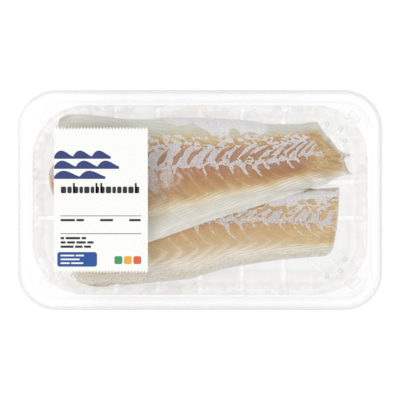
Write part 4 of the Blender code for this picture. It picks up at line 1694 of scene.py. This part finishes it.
@dataclass
class PaperLabel:
    """The paper label and its plain printed design, in mm from the label's middle."""

    centre_x: float = -65.0
    underside: float = 39.82
    length: float = 95.8
    width: float = 61.6
    thickness: float = 0.12
    teeth: int = 29
    tooth_depth: float = 1.8
    rows: int = 40
    ink_thickness: float = 0.03
    ink_gap: float = 0.005
    rules: Pair = (-10.4, -22.1)
    rule_size: Pair = (52.9, 0.42)
    margin: float = -26.4
    word_height: float = 1.5
    word_space: float = 0.9
    word_line: float = -13.2
    word_groups: Rows = ((-26.4, (9.5, 5.0)), (-0.5, (8.5,)), (18.6, (7.6,)))
    small_print: Rows = ((-25.0, (2.4, 9.6, 3.0)), (-27.8, (3.4, 5.2, 6.2, 4.2)), (-30.6, (8.6, 5.0, 4.6)))
    title_line: float = 4.4
    title_span: Pair = (-26.2, 23.5)
    title_height: float = 4.4
    title_widths: tuple[float, ...] = (2.4, 2.9, 3.5)
    title_space: float = 0.75
    title_stem: Pair = (1.3, 6.8)
    stem_share: float = 0.4
    wave_start: Pair = (-30.6, 27.0)
    wave_rows: tuple[tuple[float, int], ...] = ((6.5, 3), (12.0, 3), (3.0, 2))
    wave_spacing: float = 6.6
    wave_height: float = 5.4
    panel_centre: Pair = (-15.5, -38.9)
    panel_size: Pair = (26.0, 9.6)
    panel_print: Rows = ((-36.4, (9.0, 5.5)), (-38.9, (12.5,)), (-41.4, (6.0, 8.0)))
    squares_start: Pair = (11.5, -39.4)
    square_spacing: float = 6.2
    square_size: Pair = (5.2, 5.2)
    seed: int = 7
    inks: dict[str, list[bpy.types.Object]] = field(default_factory=dict)

    def sheet(self) -> bpy.types.Object:
        """Cut the paper: a grid whose two end rows are drawn to a fine saw edge.

        Returns:
            The paper, without its print.
        """
        paper = flat_grid(2 * self.teeth, self.rows, 1)
        paper.name = paper.data.name = "paper_label"
        points = read_points(paper)
        column = np.round((points[:, 0] + 0.5) * 2 * self.teeth).astype(int)
        at_end = np.abs(points[:, 1]) > 0.499
        y = points[:, 1] * self.length
        y = y - np.sign(y) * self.tooth_depth * (at_end & (column % 2 == 0))
        x = points[:, 0] * self.width + self.centre_x
        write_points(paper, np.stack([x, y, np.full_like(x, self.underside)], axis=1) * MM)
        thicken(paper, self.thickness, 1)
        return paper

    def ink_height(self) -> float:
        """Return the height of the middle of the ink above the floor."""
        return self.underside + self.thickness + self.ink_thickness / 2 + self.ink_gap

    def block(self, ink: str, middle: Pair, size: Pair, corner: float, raised: float = 0.0) -> None:
        """Print a rectangle with rounded corners.

        Args:
            ink: The ink that it is printed with.
            middle: Its middle along the label's width and along its length.
            size: Its size along both.
            corner: The radius of its corners.
            raised: How far it lies above other ink.
        """
        place = (self.centre_x + middle[0], middle[1], self.ink_height() + raised)
        block = rounded_block(place, (*size, self.ink_thickness), corner)
        self.inks.setdefault(ink, []).append(block)

    def words(self, ink: str, start: Pair, lengths: Sequence, height: float, raised: float = 0.0) -> None:
        """Print a line of plain bars in place of small words.

        Args:
            ink: The ink.
            start: Where the line starts, at its middle height.
            lengths: The length of each bar.
            height: Its height.
            raised: How far it lies above other ink.
        """
        x, y = start
        for length in lengths:
            self.block(ink, (x + length / 2, y), (length, height), 0.3 * height, raised)
            x += length + self.word_space

    def waves(self, ink: str, start: Pair, end: float, height: float, count: int) -> None:
        """Print a row of rolling crests along a straight base.

        Args:
            ink: The ink.
            start: Where the row starts, on its base.
            end: Where it ends along the label's width.
            height: How high the crests stand.
            count: How many crests there are.
        """
        row = flat_grid(24 * count, 1, 1)
        points = read_points(row)
        share = points[:, 0] + 0.5
        crest = 0.30 + 0.70 * np.sin(np.pi * ((share * count) % 1.0) ** 0.7) ** 1.3
        x = self.centre_x + start[0] + (end - start[0]) * share
        y = start[1] + np.where(points[:, 1] > 0, height * crest, 0)
        z = np.full_like(x, self.ink_height() - self.ink_thickness / 2)
        write_points(row, np.stack([x, y, z], axis=1) * MM)
        thicken(row, self.ink_thickness, 1)
        self.inks.setdefault(ink, []).append(row)

    def title(self) -> None:
        """Print a bold row of rounded blocks, some with a stem above, in place of a heading."""
        draw = np.random.default_rng(self.seed)
        height = self.title_height
        stem_width, stem_height = self.title_stem
        x, end = self.title_span
        while x < end:
            width = float(draw.choice(self.title_widths))
            self.block("black", (x + width / 2, self.title_line + height / 2), (width, height), 0.9)
            if draw.random() < self.stem_share:
                stem = (x + stem_width / 2, self.title_line + stem_height / 2)
                self.block("black", stem, self.title_stem, 0.4)
            x += width + self.title_space

    def build(self) -> bpy.types.Object:
        """Cut the paper and print everything on it.

        Returns:
            The paper. What each ink printed is kept in inks.
        """
        paper = self.sheet()
        self.title()
        for rule in self.rules:
            self.block("black", (0, rule), self.rule_size, 0.1)
        for x, lengths in self.word_groups:
            self.words("black", (x, self.word_line), lengths, self.word_height)
        for y, lengths in self.small_print:
            self.words("black", (self.margin, y), lengths, self.word_height)
        left, top = self.wave_start
        for k, (end, count) in enumerate(self.wave_rows):
            self.waves("navy", (left, top - self.wave_spacing * k), end, self.wave_height, count)
        self.block("blue", self.panel_centre, self.panel_size, 1.6)
        for y, lengths in self.panel_print:
            self.words("paper_white", (self.margin, y), lengths, 1.0, 0.02)
        first, line = self.squares_start
        for k, ink in enumerate(("green", "amber", "red")):
            self.block(ink, (first + self.square_spacing * k, line), self.square_size, 1.2)
        return paper


@dataclass
class Studio:
    """A plain pale floor, soft white light all round, and the camera straight above the pack.

    The floor is the light table on which packs are photographed. As in the photo, its glow is painted
    a little brighter under the tray's left end, a painted pool of light, and a little dimmer in front of
    the lower fillet, a painted shadow.
    """

    view_width: float = 262.3 * MM
    subject_height: float = 39 * MM
    lens_mm: float = 200.0
    sensor_mm: float = 36.0
    floor_colours: tuple[str, str] = ("7B7B7B", "7C7C7C")
    floor_glow: float = 0.85
    brighter: Triple = (-60 * MM, -105 * MM, 0.09)
    dimmer: Triple = (-36 * MM, -46 * MM, 0.035)
    room_light: float = 0.81
    box_size: float = 0.6
    boxes: tuple[tuple[str, Triple, float], ...] = (
        ("key_box", (0.5, -0.4, 1.1), 3.1),
        ("fill_box", (-0.8, 0.3, 1.1), 3.7),
    )

    def floor_material(self) -> bpy.types.Material:
        """Build opal acrylic lit from below, which shows an even white with hardly any shadow.

        Returns:
            The material.
        """
        material, add = new_material("opal acrylic light table")
        place = add("TexCoord").outputs["Object"]
        noise = add("TexNoise", {"Vector": place, "Scale": 3.0})
        tone = with_stops(add("ValToRGB", (noise,)), list(zip((0.3, 0.7), self.floor_colours)))
        # Painted light: a pool of extra glow under the tray's left end, and a painted shadow of less glow in
        # front of the lower fillet.
        at = add("SeparateXYZ", (place,))
        changes = ((at.outputs["X"], self.brighter), (at.outputs["Y"], self.dimmer))
        more, less = (add("MapRange", (way, start, end, 0.0, most)) for way, (start, end, most) in changes)
        change = add("Math", (more, less), operation="SUBTRACT")
        glow = add("Math", (self.floor_glow, change), operation="ADD")
        light = {"Emission Color": (1, 1, 1, 1), "Emission Strength": glow}
        acrylic = add("BsdfPrincipled", {"Base Color": tone, "Roughness": 0.9, **light})
        add("OutputMaterial", {"Surface": acrylic})
        return material

    def floor(self) -> None:
        """Lay the floor as one wide glowing plate, just under the tray."""
        deselect_all()
        bpy.ops.mesh.primitive_plane_add(size=6, location=(0, 0, -0.05 * MM))
        floor = bpy.context.object
        floor.name = "studio_floor"
        floor.data.materials.append(self.floor_material())

    def light(self) -> None:
        """Hang two wide soft boxes beside the camera and fill the rest with a white room."""
        world = bpy.data.worlds.new("white_room")
        world.use_nodes = True
        background = world.node_tree.nodes["Background"]
        background.inputs["Color"].default_value = (1, 1, 1, 1)
        background.inputs["Strength"].default_value = self.room_light
        bpy.context.scene.world = world
        for name, place, power in self.boxes:
            lamp = bpy.data.lights.new(name, "AREA")
            lamp.shape = "SQUARE"
            lamp.size = self.box_size
            lamp.energy = power
            box = bpy.data.objects.new(name, lamp)
            box.location = place
            box.rotation_euler = (-box.location).to_track_quat("-Z", "Y").to_euler()
            bpy.context.scene.collection.objects.link(box)

    def camera(self) -> None:
        """Set the camera straight above, as far off as its long lens needs for the photo's frame."""
        data = bpy.data.cameras.new("camera")
        data.lens = self.lens_mm
        data.sensor_width = self.sensor_mm
        data.clip_end = 20
        camera = bpy.data.objects.new("camera", data)
        camera.location = (0, 0, self.subject_height + self.view_width * self.lens_mm / self.sensor_mm)
        bpy.context.scene.collection.objects.link(camera)
        bpy.context.scene.camera = camera

    def build(self) -> None:
        """Set up the whole studio."""
        bpy.context.scene.view_settings.view_transform = "Standard"
        self.camera()
        self.floor()
        self.light()


LOWER_ACROSS = (
    (0.00, "D9D4C9"), (0.12, "D3CCBE"), (0.19, "CDC0A8"), (0.26, "C3A87F"), (0.36, "C09F6E"),
    (0.46, "BB9164"), (0.50, "B98C63"), (0.70, "B98F60"), (0.88, "BFA88E"), (1.00, "BDB2AB"),
)
# The palest stops at both ends are partly the thin edges' own pale colour and partly painted light against
# the shade of the steep rounded edges.
UPPER_ACROSS = (
    (0.00, "E6E3DD"), (0.05, "D5D2C9"), (0.12, "D1CDC2"), (0.17, "CFC6B2"), (0.22, "CEB88B"),
    (0.30, "BA9059"), (0.42, "A6733F"), (0.50, "9F6B49"), (0.66, "A2754F"), (0.74, "BB9760"),
    (0.79, "C4B591"), (0.87, "C3C0B1"), (1.00, "CED0CA"),
)
UPPER_LOW_EDGE = (
    (-98, -28), (-66, -36), (-34, -28), (11, -12.5), (42, -3), (73, 7), (85, 11), (94, 15.7), (103, 17.5),
)
UPPER_HIGH_EDGE = (
    (-98, 48.8), (-94, 52.6), (-91, 54.6), (-86, 56.4), (-78, 56.9), (-62, 55.4), (-48, 54.0), (-34, 53.9),
    (-22, 55), (0, 54.8), (20, 53.9), (33, 52.9), (41, 51.4), (53, 50.6), (66, 50.9), (77.5, 52.3),
    (83, 45.4), (88.3, 39.6), (93, 33.8), (97, 31.6), (103, 30.4),
)
UPPER_LEFT_END = (
    (0, -88), (0.33, -96.5), (0.38, -97.8), (0.45, -99.6), (0.52, -100.9), (0.58, -101.2),
    (0.63, -100.2), (0.68, -98.0), (0.73, -96.8), (0.85, -96.2), (0.95, -94.6), (1, -92.8),
)


def lower_membrane() -> Membrane:
    """Describe the membrane of the lower fillet: shards above its midline, in two rows of gaps.

    Returns:
        Its sizes.
    """
    return Membrane(
        midline=1.5,
        gap=((-90, 1.0), (10, 0.7), (36, 1.0), (52, 1.7), (64, 2.3), (93, 2.6)),
        gap_reach=((-90, 8), (20, 7), (50, 7.5), (93, 8.5)),
        reach=((-90, 30), (50, 30), (62, 21), (93, 22.5)),
        net=((-90, 0.1), (30, 0.35), (55, 0.2), (93, 0.15)),
        tooth=1.1,
        tooth_reach=((-90, 7), (20, 8), (93, 9)),
        film_reach=((-90, 0.0), (20, 3), (45, 9), (60, 4), (93, 2)),
        belt_from=7.0,
        hole_level=((-90, 0.5), (20, 0.28), (45, 0.32), (60, 0.45), (93, 0.45)),
        cracks=((-90, 0.2), (93, 0.05)),
        patches=(Patch(((40, 0.5), (52, -1.0), (70, 0.5), (93, 1.5)), ((40, 20), (60, 6), (93, 7))),),
        seed=300,
        upper_row=1.5,
    )


def upper_membrane() -> Membrane:
    """Describe the membrane of the upper fillet: plain at the left, a lacy net towards the tail.

    Returns:
        Its sizes.
    """
    right_patch = Patch(
        (
            (-6, 52.8), (-4, 51.0), (-1.5, 48.3), (2, 46.3), (5, 44.5), (8, 42.3), (18, 42.0), (21, 46.8),
            (24, 47.2), (27, 43.9), (33, 45.2), (40, 43.6), (44, 44.6), (45.5, 47.0),
        ),
        ((-6, 53.6), (0, 57), (40, 57), (45.5, 48.2)),
    )
    left_patch = Patch(
        (
            (-30, 54.0), (-23, 52.4), (-19, 50.0), (-15, 48.2), (-13, 48.6), (-11, 50.6), (-5, 51.6),
            (0, 52.2), (4, 53.0),
        ),
        ((-30, 56), (-20, 57), (-14, 57), (4, 57)),
    )
    return Membrane(
        midline=0.8,
        gap=(
            (-98, 2.0), (-8, 2.1), (10, 1.9), (19, 2.0), (25, 2.9), (33, 2.5), (42, 2.0), (52, 1.5),
            (62, 1.5), (72, 1.8), (82, 2.8),
        ),
        gap_reach=((-98, 12.5), (0, 13.5), (20, 14), (33, 15), (50, 12), (62, 10.5), (72, 9.5), (80, 8)),
        reach=(
            (-98, 22.8), (-33, 22.4), (0, 20.8), (33, 18.8), (52, 17), (66, 15), (73, 11), (80, 4), (84, -3),
        ),
        net=((-98, 0.0), (14, 0.05), (24, 0.55), (42, 0.60), (52, 0.38), (62, 0.28), (82, 0.35)),
        tooth=1.5,
        tooth_reach=((-98, 3), (-12, 4), (5, 6), (25, 8), (60, 6), (75, 4), (82, 0)),
        film_reach=((-98, 5), (-92, 14), (-15, 14), (-4, 9), (10, 9), (25, 7), (50, 6), (75, 4), (84, 0)),
        belt_from=11.0,
        hole_level=((-98, 0.32), (5, 0.28), (18, 0.14), (36, -0.02), (50, -0.16), (84, -0.10)),
        cracks=((-98, -0.5), (84, -0.6)),
        patches=(right_patch, left_patch),
        seed=100,
    )


def lower_fillet(tray: ClearTray) -> Fillet:
    """Describe the fillet that lies on the tray's floor.

    Args:
        tray: The tray that it lies in.

    Returns:
        Its sizes and its membrane.
    """
    return Fillet(
        name="cod_fillet_below",
        replaced="fillet_lower",
        edge_high=((-88, -24), (-67, -19), (-33, -11), (0, -5), (33, 2), (64, 6.5), (92, 8.5)),
        edge_low=((-88, -53), (-67, -57.5), (-35, -55.3), (-10, -53), (20, -45.5), (56, -40), (92, -37)),
        end_left=((0, -82), (0.3, -88), (0.7, -89.5), (1, -86)),
        end_right=((0, 84), (0.05, 87.6), (0.14, 89.6), (0.37, 91.6), (0.66, 92.9), (1, 93.6)),
        thickness=((-90, 20), (-60, 25), (-20, 23), (20, 20), (60, 17), (93, 14)),
        septum=((-90, -34), (3, -14.2), (20, -13.9), (50, -14.3), (92, -16.5)),
        crest=0.45,
        share_low=0.78,
        share_high=0.45,
        edge_rounding=5.0,
        segment_pitch=9.95,
        pitch_change=-0.018,
        sweep_low=(0.47, 12.0, 50.0, 1.5),
        sweep_high=(0.62, 14.0, 50.0, 1.2),
        tray=tray,
        membrane=lower_membrane(),
        covered_above=UPPER_LOW_EDGE,
    )


def upper_fillet(tray: ClearTray, lower: Fillet) -> Fillet:
    """Describe the fillet that lies partly over the other one.

    Args:
        tray: The tray that it lies in.
        lower: The fillet under it.

    Returns:
        Its sizes and its membrane.
    """
    return Fillet(
        name="cod_fillet_above",
        replaced="fillet_upper",
        edge_high=UPPER_HIGH_EDGE,
        edge_low=UPPER_LOW_EDGE,
        end_left=UPPER_LEFT_END,
        end_right=((0, 102.8), (0.25, 100.5), (0.65, 97.8), (0.8, 98.4), (1, 102.6)),
        thickness=((-100, 23), (-70, 22), (-50, 20), (20, 19), (60, 14), (84, 8), (101, 3.5)),
        septum=((-98, 18), (-34.6, 21), (6.5, 23), (41, 24.7), (62, 28), (77, 31), (90, 26), (101, 24)),
        crest=0.6,
        share_low=0.16,
        share_high=0.88,
        segment_pitch=9.6,
        pitch_change=-0.050,
        sweep_low=(0.5, 13.0, 82.0, 1.0),
        sweep_high=(0.42, 10.5, 70.0, 1.2),
        fringe_width=4.0,
        rim_share=0.06,
        rim_rise=0.65,
        edge_rounding=6.0,
        ripple_height=0.12,
        ragged_end=0.9,
        curl_place=(-92, 53),
        curl_height=3.0,
        tray=tray,
        membrane=upper_membrane(),
        lies_on=lower,
    )


def make_fillets(tray: ClearTray) -> None:
    """Build both fillets in their tray and dress them.

    Args:
        tray: The tray that they lie in.
    """
    lower = lower_fillet(tray)
    upper = upper_fillet(tray, lower)
    lower_flesh = CodFlesh(
        name="raw_cod_below",
        across=LOWER_ACROSS,
        tail_colour="CBAC72",
        tail=(15, 110),
        sinews=0.1,
        stripes_from=0.22,
        stripes_above_from=0.95,
        stripes_fade=(-40, 60),
        line_share=0.36,
        specks=0.7,
        teeth=0.075,
        cut_colour="D2CABB",
    )
    upper_flesh = CodFlesh(
        name="raw_cod_above",
        across=UPPER_ACROSS,
        tail_colour="B99459",
        tail=(64, 80),
        stripes_from=0.26,
        stripes_above_from=0.80,
        stripes_fade=(-30, 60),
        line_share=0.18,
        teeth=0.03,
        cut_colour="BF9A68",
        brown_spread=0.13,
    )
    for fillet, flesh in ((lower, lower_flesh), (upper, upper_flesh)):
        hand_over(fillet.build(), Slot.FLESH, flesh.material(), fillet.replaced)


def make_label() -> None:
    """Build the label, then join and dress what each ink printed."""
    label = PaperLabel()
    paper = PrintInk("coated_label_paper", "EDEEEA", "F1F2EE", 0.5)
    hand_over(label.build(), Slot.PAPER, paper.material(), "label")
    inks = {
        "black": PrintInk("black_offset_ink", "17181C", "1F2024"),
        "navy": PrintInk("navy_offset_ink", "24326E", "2B3A76"),
        "blue": PrintInk("blue_offset_ink", "0C4590", "124C99"),
        "paper_white": PrintInk("bare_paper_lines", "EBECE8", "EFF0EC"),
        "green": PrintInk("green_offset_ink", "2F8F5B", "379763"),
        "amber": PrintInk("amber_offset_ink", "E0A22C", "E6AB38"),
        "red": PrintInk("red_offset_ink", "CF5A3C", "D66446"),
    }
    for name, blocks in label.inks.items():
        hand_over(join_pieces(f"print_{name}", blocks), Slot.PAPER, inks[name].material())


def main() -> None:
    """Build the studio and each sub-assembly in order."""
    logging.basicConfig(level=logging.INFO, format="%(message)s")
    Studio().build()
    tray = ClearTray()
    look = {"haze_and_painted_light": 0.0, "slant": 0.12, "gloss": 0.16, "refraction_share": 0.10, "formed": True}
    pet = ClearSheet("thermoformed_clear_pet", "DADBDC", **look)
    hand_over(tray.build(), Slot.TRAY, pet.material(), "tray")
    make_fillets(tray)
    film = ClearSheet("clear_pet_lid_film", "EDEEEF", haze_and_painted_light=0.01, slant=0.10, gloss=0.20)
    hand_over(LidFilm(tray).build(), Slot.FILM, film.material(), "film")
    make_label()


if __name__ == "__main__":
    main()
